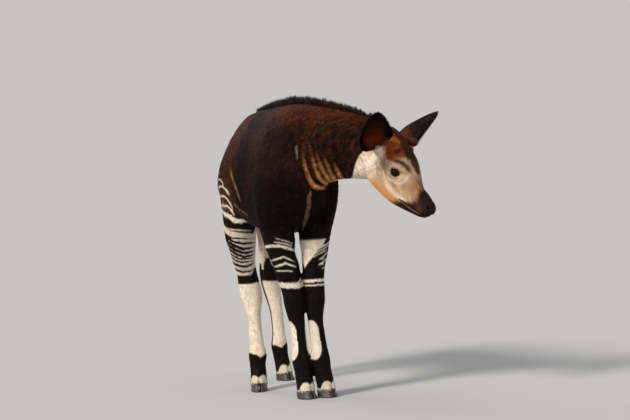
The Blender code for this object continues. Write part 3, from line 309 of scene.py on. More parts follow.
# Folds of the face seen from the side: bends as place along the face and below the brow line, half width, height
FACE_FOLDS = (
    (((0.122, -0.031), (0.138, -0.025), (0.158, -0.014)), 0.0045, -0.0022),
    (((0.150, -0.083), (0.168, -0.072), (0.178, -0.054), (0.176, -0.030)), 0.0055, 0.0018),
    (((0.120, -0.078), (0.160, -0.100), (0.205, -0.098), (0.255, -0.074)), 0.0065, 0.0020),
    (((0.105, -0.098), (0.130, -0.118), (0.180, -0.118)), 0.0060, -0.0018),
    (((0.070, -0.060), (0.085, -0.100), (0.075, -0.150)), 0.0060, -0.0016),
    (((0.250, -0.040), (0.285, -0.050), (0.315, -0.040)), 0.0040, -0.0012),
    (((0.262, -0.020), (0.290, -0.030), (0.306, -0.026)), 0.0035, -0.0012),
)
FACE_MARKS = (
    (((0.040, -0.040), (0.052, -0.070), (0.053, -0.101), (0.061, -0.125), (0.079, -0.156)), 0.0130, "white", 0.70),
    (((0.062, -0.056), (0.080, -0.068), (0.100, -0.082), (0.124, -0.090), (0.142, -0.118)), 0.0050, "face grey", 0.65),
    (((0.078, -0.080), (0.090, -0.110), (0.112, -0.135)), 0.0040, "face grey", 0.65),
    # the next two lines are painted highlights along the ridges under the eye and along the jaw
    (((0.112, -0.098), (0.140, -0.112), (0.165, -0.117), (0.201, -0.112), (0.228, -0.101), (0.252, -0.078)), 0.0085, "white", 0.42),
    (((0.138, -0.093), (0.155, -0.090), (0.172, -0.078), (0.187, -0.056), (0.184, -0.031), (0.174, -0.018)), 0.0058, "white", 0.50),
    (((0.100, -0.040), (0.114, -0.022), (0.128, -0.012), (0.147, -0.008), (0.166, -0.008)), 0.0068, "brow", 1.00),
    (((0.152, -0.036), (0.164, -0.026), (0.170, -0.012)), 0.0030, "brow", 0.50),
    (((0.120, -0.070), (0.112, -0.080), (0.108, -0.092)), 0.0030, "brow", 0.40),
)
# Lines of the legs' patterns: half width, then bends as an angle round the leg and a height
FORE_LINES = (
    (0.0026, (108, 0.532), (60, 0.541), (34, 0.547), (20, 0.540), (-16, 0.523)),
    (0.0034, (98, 0.509), (60, 0.516), (34, 0.522), (10, 0.512), (-16, 0.503)),
    (0.0020, (92, 0.494), (39, 0.493), (10, 0.490)),
    (0.0028, (160, 0.575), (135, 0.555), (118, 0.535), (104, 0.512)),
)
FORE_LINES_RIGHT = (
    (0.0015, (52, 0.622), (14, 0.606), (-18, 0.593)),
    (0.0022, (58, 0.606), (30, 0.600), (10, 0.593), (-18, 0.583)),
    (0.0054, (150, 0.582), (128, 0.585), (72, 0.591), (39, 0.589), (7, 0.578), (-44, 0.562)),
    (0.0105, (-175, 0.438), (-110, 0.437), (-20, 0.436), (10, 0.434), (50, 0.436), (108, 0.439), (178, 0.438)),
    (0.0030, (-5, 0.444), (-40, 0.458)),
)
FORE_LINES_LEFT = (
    (0.0050, (178, 0.446), (108, 0.445), (50, 0.444), (10, 0.446), (-19, 0.447), (-110, 0.446), (-178, 0.446)),
    (0.0030, (178, 0.429), (108, 0.428), (50, 0.427), (10, 0.429), (-19, 0.430), (-110, 0.430), (-178, 0.429)),
    (0.0034, (-40, 0.555), (-24, 0.567), (34, 0.583), (80, 0.592), (128, 0.585)),
    (0.0022, (-44, 0.545), (-24, 0.555), (34, 0.572), (80, 0.580)),
    (0.0018, (-46, 0.535), (-24, 0.544), (30, 0.560)),
    (0.0024, (30, 0.602), (60, 0.612)),
    (0.0024, (-3, 0.526), (16, 0.528)),
    (0.0024, (0, 0.507), (25, 0.505)),
)
HIND_LINES = (
    (0.0085, (178, 0.725), (120, 0.712), (70, 0.702), (28, 0.689), (16, 0.672), (0, 0.667), (-12, 0.670), (-40, 0.680)),
    (0.0026, (150, 0.668), (90, 0.650), (41, 0.638), (4, 0.632), (-37, 0.624)),
    (0.0038, (178, 0.756), (120, 0.738), (80, 0.724), (50, 0.728), (27, 0.729), (17, 0.716), (12, 0.692)),
    (0.0036, (178, 0.794), (120, 0.776), (90, 0.757), (60, 0.765), (30, 0.766), (18, 0.757), (13, 0.738), (11, 0.718)),
    (0.0034, (178, 0.834), (125, 0.814), (95, 0.790), (60, 0.801), (26, 0.803), (15, 0.795), (10, 0.774)),
    (0.0026, (178, 0.866), (127, 0.838), (85, 0.824), (49, 0.829), (27, 0.819), (21, 0.802)),
    (0.0022, (178, 0.895), (127, 0.864), (92, 0.848), (60, 0.851)),
)
HIND_BARS = (
    (0.0034, (175, 0.660), (110, 0.632), (64, 0.614), (31, 0.602), (-8, 0.597), (-55, 0.590)),
    (0.0060, (175, 0.640), (110, 0.620), (62, 0.604), (28, 0.587), (-2, 0.577), (-30, 0.577), (-58, 0.575)),
    (0.0068, (175, 0.618), (110, 0.601), (60, 0.588), (25, 0.568), (0, 0.556), (-30, 0.556), (-58, 0.562)),
    (0.0066, (175, 0.597), (110, 0.583), (62, 0.570), (25, 0.550), (0, 0.539), (-30, 0.540), (-58, 0.546)),
    (0.0060, (175, 0.577), (110, 0.564), (62, 0.551), (25, 0.533), (0, 0.523), (-30, 0.525), (-58, 0.531)),
    (0.0040, (175, 0.558), (110, 0.545), (60, 0.532), (20, 0.515), (-55, 0.514)),
    (0.0040, (175, 0.543), (110, 0.530), (60, 0.516), (20, 0.502), (-55, 0.503)),
    (0.0058, (175, 0.520), (110, 0.508), (62, 0.496), (30, 0.487), (0, 0.483), (-35, 0.489), (-60, 0.499)),
    (0.0044, (175, 0.487), (110, 0.479), (45, 0.466), (20, 0.461), (-20, 0.462), (-58, 0.473)),
)
# Tones of the coat as linear colours; those a user would change are set from the panel
COAT_TONES = {
    "dark": (0.0085, 0.0034, 0.0020),
    "warm": (0.0290, 0.0088, 0.0032),
    "rust": (0.0780, 0.0190, 0.0042),
    # the next two tones are painted highlights: orange on the crests of the neck's folds and at the elbow, bright on
    # the lower neck folds and on the flank's folds
    "warm highlight": (0.3400, 0.1150, 0.0270),
    "fold": (1.0000, 0.5000, 0.1700),
    "tan": (0.3600, 0.2300, 0.1250),
    "slit": (0.8800, 0.7200, 0.6000),
    "black": (0.0080, 0.0052, 0.0038),
    "white": (0.880, 0.8050, 0.6900),
    "cream": (0.790, 0.6650, 0.4900),
    "pink": (0.560, 0.4000, 0.3000),
    "face": (0.6500, 0.4500, 0.2850),
    "face grey": (0.300, 0.2150, 0.1500),
    "bridge": (0.2900, 0.1480, 0.0750),
    "jaw": (0.600, 0.2900, 0.0850),
    "forehead": (0.2900, 0.0500, 0.0060),
    "poll": (0.0600, 0.0140, 0.0050),
    "strip": (0.034, 0.0115, 0.0065),
    "brow": (0.0700, 0.0270, 0.0110),
    "muzzle side": (0.1050, 0.0400, 0.0180),
    "muzzle": (0.0160, 0.0085, 0.0058),
    "lip": (0.300, 0.1500, 0.1050),
    "mane": (0.0125, 0.0088, 0.0070),
    "ear": (0.0032, 0.0020, 0.0018),
    "ear inside": (0.0600, 0.0080, 0.0028),
}

# The skin's grain, in metres
SKIN_VOXEL = 0.0040
SKIN_SHARE = 0.72  # of the triangles kept on the trunk and neck
TRUNK_ROUNDS = 55
FACE_ROUNDS = 10

# Lights: direction round the calf in degrees, height over level, width in degrees, strength and colour
LIGHTS = (
    ("key light", -75.0, 42.0, 14.0, 3.35, (1.0, 0.90, 0.77)),
    ("fill light", 15.0, 30.0, 40.0, 0.35, (0.95, 0.97, 1.0)),
    ("rim light", -165.0, 38.0, 30.0, 0.90, (1.0, 0.93, 0.84)),
)
SKY_COLOUR = (1.0, 0.975, 0.945)

# The camera: where it stands and how it is turned, in the design frame
CAMERA_PLACE = (-3.845, -10.859, 1.540)
CAMERA_AZIMUTH = -20.235
CAMERA_PITCH = 4.194
CAMERA_ROLL = 4.2
CAMERA_LENS = 171.43


def unit(vector):
    vector = np.asarray(vector, float)
    return vector / np.maximum(np.linalg.norm(vector, axis=-1, keepdims=True), 1e-12)


def smooth_step(x):
    """0 below 0, 1 above 1, and a smooth rise between."""
    x = np.clip(x, 0.0, 1.0)
    return x * x * (3 - 2 * x)


def faired(rows, count):
    """Rows of sections read at evenly spaced places along a smooth cubic curve through them."""
    rows = np.asarray(rows, float)
    steps = np.linalg.norm(np.diff(rows[:, :3], axis=0), axis=1)
    place = np.concatenate([[0.0], np.cumsum(steps)])
    slope = np.gradient(rows, place, axis=0)
    wanted = np.linspace(0.0, place[-1], count)
    i = np.clip(np.searchsorted(place, wanted, side="right") - 1, 0, len(place) - 2)
    span = (place[i + 1] - place[i])[:, None]
    x = (wanted - place[i])[:, None] / span
    return (
        (2 * x**3 - 3 * x**2 + 1) * rows[i]
        + (x**3 - 2 * x**2 + x) * span * slope[i]
        + (3 * x**2 - 2 * x**3) * rows[i + 1]
        + (x**3 - x**2) * span * slope[i + 1]
    )


def ring_faces(rings, around):
    """Quads between rings of points, and one flat face at each end."""
    r, k = np.meshgrid(np.arange(rings - 1), np.arange(around), indexing="ij")
    a = (r * around + k).ravel()
    b = (r * around + (k + 1) % around).ravel()
    faces = np.stack([a, b, b + around, a + around], axis=1).tolist()
    faces.append(list(range(around))[::-1])
    faces.append([(rings - 1) * around + j for j in range(around)])
    return faces


def loft(rows, count, around, hint, power=2.0, power_below=None):
    """Superellipse rings carried along a path. Rows hold the centre, half width, reach to the hint and away from it."""
    rows = faired(rows, count)
    centre = rows[:, :3]
    axis = unit(np.gradient(centre, axis=0))
    side = unit(np.cross(axis, np.broadcast_to(hint, axis.shape)))
    up = np.cross(side, axis)
    angle = np.arange(around) * 2 * math.pi / around
    power = rows[:, 6] if rows.shape[1] > 6 else np.full(count, power)
    power = np.where(np.sin(angle) >= 0, power[:, None], power_below or power[:, None])
    across = np.sign(np.cos(angle)) * np.abs(np.cos(angle)) ** (2 / power)
    along = np.sign(np.sin(angle)) * np.abs(np.sin(angle)) ** (2 / power)
    reach = np.where(along > 0, rows[:, 4:5], rows[:, 5:6])
    points = centre[:, None] + side[:, None] * (across * rows[:, 3:4])[..., None] + up[:, None] * (along * reach)[..., None]
    return points.reshape(-1, 3), ring_faces(count, around)


def heading(degrees):
    """The level direction that many degrees left of straight ahead."""
    turn = math.radians(degrees)
    return np.array([math.sin(turn), -math.cos(turn), 0.0])


def head_axes():
    """Rows: down the face, out of the brow, and to the calf's left."""
    ahead = heading(FACE_HEADING)
    drop = math.radians(FACE_DROP)
    down_face = math.cos(drop) * ahead - math.sin(drop) * np.array([0.0, 0.0, 1.0])
    brow = math.sin(drop) * ahead + math.cos(drop) * np.array([0.0, 0.0, 1.0])
    return np.array([down_face, brow, heading(FACE_HEADING + 90.0)])


def from_head(local):
    return np.array(POLL) + np.asarray(local) @ head_axes()


def to_head(points):
    return (np.asarray(points) - np.array(POLL)) @ head_axes().T


def line_distance(points, path):
    """Distance from points to a bent line, and the share of the way along it."""
    path = np.asarray(path, float)
    best = np.full(len(points), 9.0)
    share = np.zeros(len(points))
    for k in range(len(path) - 1):
        edge = path[k + 1] - path[k]
        t = np.clip(((points - path[k]) @ edge) / (edge @ edge), 0, 1)
        gap = np.linalg.norm(points - path[k] - t[:, None] * edge, axis=1)
        closer = gap < best
        best = np.where(closer, gap, best)
        share = np.where(closer, (k + t) / (len(path) - 1), share)
    return best, share


def ripple(points, size, turn=0.0):
    """A smooth, seeded mottling between about -1 and 1: sines across nine tilted directions, each bent by the last."""
    rng = np.random.default_rng(int(turn * 10) + 5)
    total = np.zeros(len(points))
    wave = np.zeros(len(points))
    for _ in range(9):
        way = unit(rng.normal(size=3)) * rng.uniform(0.5, 1.8) / size
        wave = np.sin(points @ way * 2 * math.pi + 1.9 * wave + rng.uniform(0, 6.28))
        total += wave
    return total / 3.6


def mix(first, second, amount):
    """Colour rows blended from the first to the second by an amount for each point."""
    return first + (np.asarray(second) - first) * np.asarray(amount)[:, None]


def add_object(name, points, faces):
    mesh = bpy.data.meshes.new(name)
    mesh.from_pydata(np.asarray(points).tolist(), [], [tuple(f) for f in faces])
    shape = bmesh.new()
    shape.from_mesh(mesh)
    bmesh.ops.recalc_face_normals(shape, faces=shape.faces)
    shape.to_mesh(mesh)
    shape.free()
    obj = bpy.data.objects.new(name, mesh)
    bpy.context.scene.collection.objects.link(obj)
    return obj


def add_triangles(name, points, faces):
    """A mesh object from whole arrays of points and triangles, whose order already turns them outwards."""
    mesh = bpy.data.meshes.new(name)
    mesh.vertices.add(len(points))
    mesh.vertices.foreach_set("co", np.asarray(points, np.float32).ravel())
    mesh.loops.add(faces.size)
    mesh.loops.foreach_set("vertex_index", np.asarray(faces, np.int32).ravel())
    mesh.polygons.add(len(faces))
    mesh.polygons.foreach_set("loop_start", np.arange(0, faces.size, 3, dtype=np.int32))
    mesh.update(calc_edges=True)
    obj = bpy.data.objects.new(name, mesh)
    bpy.context.scene.collection.objects.link(obj)
    return obj


def settle(obj):
    """Applies an object's modifiers."""
    graph = bpy.context.evaluated_depsgraph_get()
    mesh = bpy.data.meshes.new_from_object(obj.evaluated_get(graph))
    obj.modifiers.clear()
    obj.data = mesh
    return obj


def points_of(obj):
    points = np.empty(len(obj.data.vertices) * 3, np.float32)
    obj.data.vertices.foreach_get("co", points)
    return points.reshape(-1, 3).astype(float)


def normals_of(obj):
    normals = np.empty(len(obj.data.vertices) * 3, np.float32)
    obj.data.vertex_normals.foreach_get("vector", normals)
    return normals.reshape(-1, 3).astype(float)


def edges_of(obj):
    edges = np.empty(len(obj.data.edges) * 2, np.int32)
    obj.data.edges.foreach_get("vertices", edges)
    return edges.reshape(-1, 2)


def triangles_of(obj):
    obj.data.calc_loop_triangles()
    triangles = np.empty(len(obj.data.loop_triangles) * 3, np.int32)
    obj.data.loop_triangles.foreach_get("vertices", triangles)
    return triangles.reshape(-1, 3)


def put_points(obj, points):
    obj.data.vertices.foreach_set("co", np.asarray(points, np.float32).ravel())
    obj.data.update()


def relax(obj, weight, rounds):
    """Each round moves every point half way to the mean of its neighbours, times its weight."""
    points, edges = points_of(obj), edges_of(obj)
    size = len(points)
    ends = np.maximum(np.bincount(edges.ravel(), minlength=size), 1)
    for _ in range(rounds):
        mean = np.stack([
            (np.bincount(edges[:, 0], points[edges[:, 1], axis], size)
             + np.bincount(edges[:, 1], points[edges[:, 0], axis], size)) / ends
            for axis in range(3)
        ], axis=1)
        points += 0.5 * weight[:, None] * (mean - points)
    put_points(obj, points)


def paint(obj, name, colours):
    """Puts one colour on each point, under that name."""
    layer = obj.data.color_attributes.new(name, "FLOAT_COLOR", "POINT")
    layer.data.foreach_set("color", np.column_stack([colours, np.ones(len(colours))]).astype(np.float32).ravel())


def dress(obj, material, nodes=()):
    """Moves a finished piece from the design frame to the row frame, and gives it its material and its body."""
    put_points(obj, points_of(obj) + np.array(ORIGIN_SHIFT))
    obj.data.materials.clear()
    obj.data.materials.append(material)
    obj.data.shade_smooth()
    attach(obj, "root")
    if nodes:
        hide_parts(*nodes)


def ball_shell(centre, radius, rings=15, around=28):
    """A closed ball: circles whose radius follows a sine from pole to pole."""
    polar = np.linspace(0.01, 0.99, rings) * math.pi
    turn = np.arange(around) * 2 * math.pi / around
    x = np.outer(np.sin(polar), np.cos(turn))
    y = np.outer(np.sin(polar), np.sin(turn))
    z = np.outer(np.cos(polar), np.ones(around))
    return np.array(centre) + radius * np.stack([x, y, z], axis=-1).reshape(-1, 3), ring_faces(rings, around)


def leg_rows(name):
    """A leg's sections, a little fuller above the elbow or stifle, where the smoothing thins them."""
    rows = np.array(LEGS[name][0])[:, [1, 2, 0, 3, 4, 5]]
    rows[:, 3:] *= 1 + (STUB_GROWTH - 1) * smooth_step((rows[:, 2:3] - 0.56) / 0.06)
    return rows


def leg_place(points):
    """For each point the nearest leg, its height, and the angle round that leg in degrees: 0 ahead, 90 to the outside."""
    gaps, angles = [], []
    for name, (rows, turn) in LEGS.items():
        table = np.array(rows)[::-1]
        middle = np.stack([np.interp(points[:, 2], table[:, 0], table[:, k]) for k in (1, 2)], axis=1)
        offset = points[:, :2] - middle
        outside = heading(turn + 90.0)[:2] * (1 if name.endswith("left") else -1)
        gaps.append(np.linalg.norm(offset, axis=1))
        angles.append(np.degrees(np.arctan2(offset @ outside, offset @ heading(turn)[:2])))
    nearest = np.argmin(gaps, axis=0)
    pick = np.arange(len(points))
    return nearest, np.array(gaps)[nearest, pick], np.array(angles)[nearest, pick]


def ear_root_way(name):
    """The way an ear leaves the skull, in the head frame."""
    u, v, w = EAR_ROOT_WAY
    return unit((u, v, math.copysign(w, EARS[name][0][2])))


def ear_line(name, share):
    """Points of the ear's middle line: a quadratic curve from the root, first along its root way."""
    start, end, _ = (np.array(v) for v in EARS[name])
    bend = start + ear_root_way(name) * EAR_ROOT_REACH
    share = np.asarray(share)[..., None]
    return (1 - share) ** 2 * start + 2 * share * (1 - share) * bend + share**2 * end


def ear_rings(name, rings, around, stub):
    """Rings of a leaf-shaped cup: each ring is a half ellipse for the back and a flatter, sunken one for the front."""
    opening = np.array(EARS[name][2])
    shares = np.linspace(0.0, 1.0, rings)
    line = ear_line(name, shares)
    ways = unit(np.gradient(line, axis=0))
    ways[0] = ear_root_way(name)
    sizes = faired([(share, 0.0, 0.0, *size) for share, *size in EAR_SECTIONS], rings)[:, 3:]
    facing = unit(opening - ways * (ways @ opening)[:, None])
    side = np.cross(ways, facing)
    half, back, hollow = (column[:, None, None] for column in sizes.T)
    centre = line + facing * (EAR_FORWARD * sizes[:, 1] * smooth_step(shares * 4))[:, None]
    wall = np.minimum(EAR_SKIN_WALL, half * 0.4)
    angle = np.linspace(-math.pi / 2, math.pi / 2, around)[None, :, None]
    hollow = np.minimum(hollow + (EAR_WALL - EAR_SKIN_WALL) * 0.7, back - 0.0012)
    outer = centre[:, None] + side[:, None] * half * np.sin(angle) - facing[:, None] * back * np.cos(angle)
    inner = centre[:, None] + side[:, None] * (half - wall) * np.sin(angle) - facing[:, None] * hollow * np.cos(angle)
    points = np.concatenate([outer, inner[:, -2:0:-1]], axis=1)
    first = points[0] - ear_root_way(name) * stub
    return np.concatenate([first[None], points])


def skin_shells():
    """The closed shells that melt into one skin: trunk, neck, legs, tail, skull, jaw, ears' roots, horn buds and lids."""
    trunk = [(0.0, y, wide, half, top - wide, wide - low, full) for y, top, low, wide, half, full in TRUNK]
    neck = [(x, y, (top + low) / 2, half, (top - low) / 2, (top - low) / 2, 2.2) for x, y, top, low, half in NECK]
    level = (0.0, 0.0, 1.0)
    shells = [loft(trunk, 90, 72, level, power_below=TRUNK_FULLNESS_BELOW), loft(neck, 70, 64, level)]
    for name in LEGS:
        shells.append(loft(leg_rows(name), 130, 40, heading(LEGS[name][1])))
    for path in (TAIL_ROOT, tuple(zip((TAIL_START,) + TAIL_PATH, TAIL_RADII[:1] + TAIL_RADII))):
        shells.append(loft([(*place, r, r, r) for place, r in path], 60, 20, (0.0, 1.0, 0.2)))
    skull = [(u, (top + low) / 2, 0.0, half, (top - low) / 2, (top - low) / 2, 2.3) for u, top, low, half in SKULL]
    jaw = [(u, v, 0.0, half, up, down, 2.1) for u, v, half, up, down in JAW]
    head = [loft(skull, 90, 60, (0.0, 1.0, 0.0)), loft(jaw, 70, 48, (0.0, 1.0, 0.0))]
    for side in (-1, 1):
        u, v, w = BUD_PLACE
        bud = [(u, v + rise, side * w, r, r, r) for rise, r in ((-0.02, BUD_RADIUS), (0.0, BUD_RADIUS), (0.009, 0.005))]
        head.append(loft(bud, 16, 20, (1.0, 0.0, 0.0)))
        head.append(ball_shell((EYE_PLACE[0], EYE_PLACE[1], side * EYE_PLACE[2]), EYE_RADIUS + LID_THICKNESS))
    for name, (start, _, _) in EARS.items():
        way = ear_root_way(name)
        head.append(loft([(*(np.array(start) + way * d), r, r, r) for d, r in EAR_ROOT], 16, 28, (0.84, 0.0, 0.54)))
    return shells + [(from_head(points), faces) for points, faces in head]


def subdivide_near(obj, wanted):
    """Halves the edges whose middles the function picks."""
    shape = bmesh.new()
    shape.from_mesh(obj.data)
    shape.edges.ensure_lookup_table()
    points = points_of(obj)
    edges = edges_of(obj)
    picked = wanted(points[edges].mean(axis=1))
    bmesh.ops.subdivide_edges(shape, edges=[shape.edges[i] for i in np.flatnonzero(picked)], cuts=1, use_grid_fill=True)
    bmesh.ops.triangulate(shape, faces=shape.faces)
    shape.to_mesh(obj.data)
    shape.free()


def mirrored(local):
    return np.column_stack([local[:, :2], np.abs(local[:, 2])])


def eye_axes():
    """Rows: from the back corner of the left eye to its front corner, up across it, and straight out of it."""
    outward = unit((*EYE_OUTWARD, 1.0))
    along = np.array([*EYE_SLANT, 0.0])
    along = unit(along - outward * (along @ outward))
    return np.array([along, np.cross(outward, along), outward])


def lid_measure(local):
    """In the eye's own frame: place along and across it, and 1 on the almond's edge, less inside it, more outside."""
    place = (mirrored(local) - np.array(EYE_PLACE)) @ eye_axes().T
    x = place[:, 0] / EYE_OPENING[0]
    y = place[:, 1] / EYE_OPENING[1]
    size = np.hypot(x, y)
    turn = np.arctan2(np.abs(y), np.abs(x))
    edge = np.cos(turn) ** 2 + np.sin(turn) ** (2 / ALMOND_POINT)
    return place, size * edge ** 0.5


def shape_eyes(local):
    """Skin over the eyeball opens in an almond: inside it the skin dives behind the ball, round it stand two lids."""
    place, almond = lid_measure(local)
    reach = np.linalg.norm(place, axis=1)
    near = smooth_step((0.034 - reach) / 0.010) * (place[:, 2] > 0.004)
    centre = np.array(EYE_PLACE)
    flat = mirrored(local)
    ball = EYE_RADIUS + LID_THICKNESS * (0.55 + 0.45 * smooth_step((almond - 1.0) / 0.25))
    lid = near * smooth_step((1.75 - almond) / 0.5)
    target = centre + unit(flat - centre) * ball[:, None]
    flat = flat + (target - flat) * lid[:, None]
    dive = smooth_step((1.04 - almond) / 0.10) * near
    target = centre + unit(flat - centre) * (EYE_RADIUS - 0.0045)
    flat = flat + (target - flat) * dive[:, None]
    outward = unit(flat - centre)
    upper = smooth_step((place[:, 1] + 0.002) / 0.006)
    fold = np.exp(-(((almond - 1.62) / 0.10) ** 2)) * near
    roll = np.exp(-(((almond - 1.95) / 0.20) ** 2)) * near
    flat = flat + outward * (0.0018 * roll * (0.6 + upper) - 0.0020 * fold * (0.45 + upper))[:, None]
    flat[:, 2] *= np.where(local[:, 2] < 0, -1.0, 1.0)
    return flat


def shape_face(local):
    """Nostrils, the line of the mouth with its lips, the brow's fold, the cheek's edge and the wrinkles of the muzzle."""
    side = np.where(local[:, 2] < 0, -1.0, 1.0)
    flat = mirrored(local)
    offset = flat - np.array(NOSTRIL)
    along = offset[:, 0] * 0.9 - offset[:, 1] * 0.45
    across = offset[:, 1] * 0.9 + offset[:, 0] * 0.45
    across = across - 14.0 * along**2 + 0.0010
    slit = np.hypot(along / 0.0105, across / 0.0042)
    pit = smooth_step(1.30 - slit)
    rim = np.exp(-((slit - 1.8) ** 2) / 0.20) * (flat[:, 2] > 0.010)
    outward = np.array([0.0, 0.25, 0.97])
    flat = flat + np.outer(rim * 0.0022 - pit * 0.0095, outward)
    gap, share = line_distance(flat[:, :2], MOUTH)
    fade = smooth_step(share * 8) * (flat[:, 2] > 0.003)
    groove = np.exp(-((gap / 0.0020) ** 2)) * fade * 0.0050
    lips = np.exp(-(((gap - 0.0068) / 0.0042) ** 2)) * fade * 0.0020
    front = smooth_step((flat[:, 0] - 0.318) / 0.012)
    flat[:, 2] += (lips - groove) * (1 - front)
    flat[:, 0] += (lips - groove) * front
    for path, width, height in FACE_FOLDS:
        gap, share = line_distance(flat[:, :2], path)
        ends = smooth_step(share * 5) * smooth_step((1 - share) * 5)
        on_side = smooth_step((flat[:, 2] - 0.012) / 0.012)
        flat[:, 2] += np.exp(-((gap / width) ** 2)) * height * ends * on_side
    flat[:, 2] *= side
    return flat


def shape_neck(points, normals):
    """Loose skin at the foot of the neck: a ridge along each fold line, with a shallow groove on both sides of it."""
    lift = np.zeros(len(points))
    for path in NECK_FOLDS:
        gap, share = line_distance(points, path)
        ends = smooth_step(share * 4) * smooth_step((1 - share) * 4)
        lift += (0.0060 * np.exp(-((gap / 0.0060) ** 2)) - 0.0034 * np.exp(-(((gap - 0.0125) / 0.0055) ** 2))) * ends
    return points + normals * lift[:, None]


def shape_feet(points):
    """A cleft between the two claws' coronets, deepest at the floor and gone above the pastern."""
    moved = points.copy()
    for name, (rows, turn) in LEGS.items():
        foot = np.array(rows[-1])
        offset = points - np.array([foot[1], foot[2], 0.0])
        ahead, left = offset @ heading(turn), offset @ heading(turn + 90.0)
        near = (points[:, 2] < 0.10) & (np.abs(left) < 0.05) & (np.abs(ahead) < 0.08)
        depth = smooth_step((0.075 - points[:, 2]) / 0.06) * np.exp(-((left / 0.0045) ** 2)) * near
        moved -= np.outer(depth * 0.010 * np.sign(ahead), heading(turn))
        swell = smooth_step((0.055 - points[:, 2]) / 0.03) * near
        moved += np.outer(swell * 0.0015 * np.sign(left), heading(turn + 90.0))
    return moved


def coat_regions(points):
    """Shares of the coat at each point: head, ear, leg below the trunk, neck and tail."""
    local = to_head(points)
    limit = np.interp(-local[:, 1], (0.00, 0.045, 0.10, 0.147, 0.197, 0.225), (-0.03, -0.01, 0.010, 0.020, 0.050, 0.066))
    ahead = (points - np.array(NECK_END)) @ unit(NECK_END_WAY) > -0.09
    ahead &= points[:, 2] > 0.62
    head = smooth_step((local[:, 0] - limit) / 0.004 + 0.5) * ahead * (local[:, 0] > -0.06)
    ear = np.zeros(len(points))
    for name in EARS:
        gap, share = line_distance(local, ear_line(name, np.linspace(0.06, 1.0, 14)))
        away = (local - np.array(EARS[name][0])) @ ear_root_way(name)
        ear = np.maximum(ear, (gap < 0.072) * (away > 0.014) * (share > 0.02) * ahead)
    ear *= (local[:, 1] > -0.16) & (local[:, 0] < 0.075)
    leg = smooth_step((0.64 - points[:, 2]) / 0.05)
    tail = smooth_step((points[:, 1] - 0.452) / 0.006) * (np.abs(points[:, 0]) < 0.035) * (points[:, 2] < 0.93)
    neck = smooth_step(((points - np.array(NECK_START)) @ unit(NECK_START_WAY)) / 0.08 + 0.6) * (1 - head)
    return local, head * (1 - ear), ear, leg, neck, tail


def near_line(points, path, half_width, soft=0.0018):
    """1 on a line, with soft edges at its half width and narrower towards its ends."""
    gap, share = line_distance(points, path)
    narrow = half_width * (0.35 + 0.65 * smooth_step(share * 6) * smooth_step((1 - share) * 6))
    return smooth_step((narrow - gap) / soft + 0.5)


def striped(height, angle, lines, reach=0.00090, taper=0.0):
    """Where lines of a leg's pattern lie. A line is a half width and its bends, each an angle in degrees and a height.

    The lines are wider at the back of the leg than at its front by the taper.
    """
    place = np.column_stack([angle * reach, height])
    wider = 1 + taper * np.clip((angle - 20) / 50, -1, 1) + 0.22 * ripple(place @ np.eye(2, 3), 0.020, 8.0)
    found = np.zeros(len(height))
    for half_width, *bends in lines:
        path = [(a * reach, z) for a, z in bends]
        found = np.maximum(found, near_line(place, path, half_width * wider))
    return found


def fore_pattern(height, angle, left):
    """Share of white on a front leg: thin lines over a black forearm, a garter, and white sides to a black cannon."""
    white = striped(height, angle, FORE_LINES + (FORE_LINES_LEFT if left else FORE_LINES_RIGHT))
    low = np.interp(angle, (-175, -130, -93, -48, -24, 0, 9), (0.585, 0.53, 0.495, 0.533, 0.563, 0.580, 0.600))
    patch = smooth_step((height - low) / 0.006 + 0.5) * smooth_step((0.601 - height) / 0.006 + 0.5) * (angle < 9)
    white = np.maximum(white, patch * (angle < (9 if left else -42)))
    off_front = np.abs(angle - (19.0 if left else 13.0))
    off_front = np.minimum(off_front, 360 - off_front)
    top = 0.150 + 0.145 * smooth_step((off_front - 38) / 9)
    mid = (height - 0.222) / 0.076
    panel = smooth_step((off_front - 40 - 46 * np.abs(mid) ** 4) / 5 + 0.5) * (np.abs(mid) < 1)
    return np.maximum(white, panel * (height < top))


def hind_pattern(height, angle, left):
    """Share of white on a hind leg: bars on buttock and thigh, a black hock band and a white cannon."""
    white = striped(height, angle, HIND_LINES, reach=0.0011)
    field_top = np.interp(angle, (-180, -75, -43, 5, 54, 110, 180), (0.655, 0.640, 0.612, 0.622, 0.636, 0.665, 0.690))
    field = smooth_step((field_top - height) / 0.004 + 0.5)
    field = field * (1 - striped(height, angle, HIND_BARS, reach=0.0010, taper=0.35) * (angle > -62))
    white = np.maximum(white * (height > 0.60), field)
    hock_top = np.interp(angle, (-180, -60, -20, 60, 180), (0.470, 0.474, 0.447, 0.447, 0.455))
    if left:
        hock_top = np.interp(angle, (-180, -75, -50, -20, 60, 180), (0.44, 0.445, 0.49, 0.505, 0.447, 0.455))
    hock_low = np.interp(angle, (-180, -60, 0, 180), (0.418, 0.415, 0.412, 0.412)) - (0.018 if left else 0.0)
    hock = smooth_step((hock_top - height) / 0.004 + 0.5) * smooth_step((height - hock_low) / 0.004 + 0.5)
    white = white * (1 - hock)
    fetlock = np.interp(angle, (-180, -60, -17, 11, 65, 180), (0.146, 0.142, 0.131, 0.143, 0.150, 0.150))
    return white * smooth_step((height - fetlock) / 0.005 + 0.5)


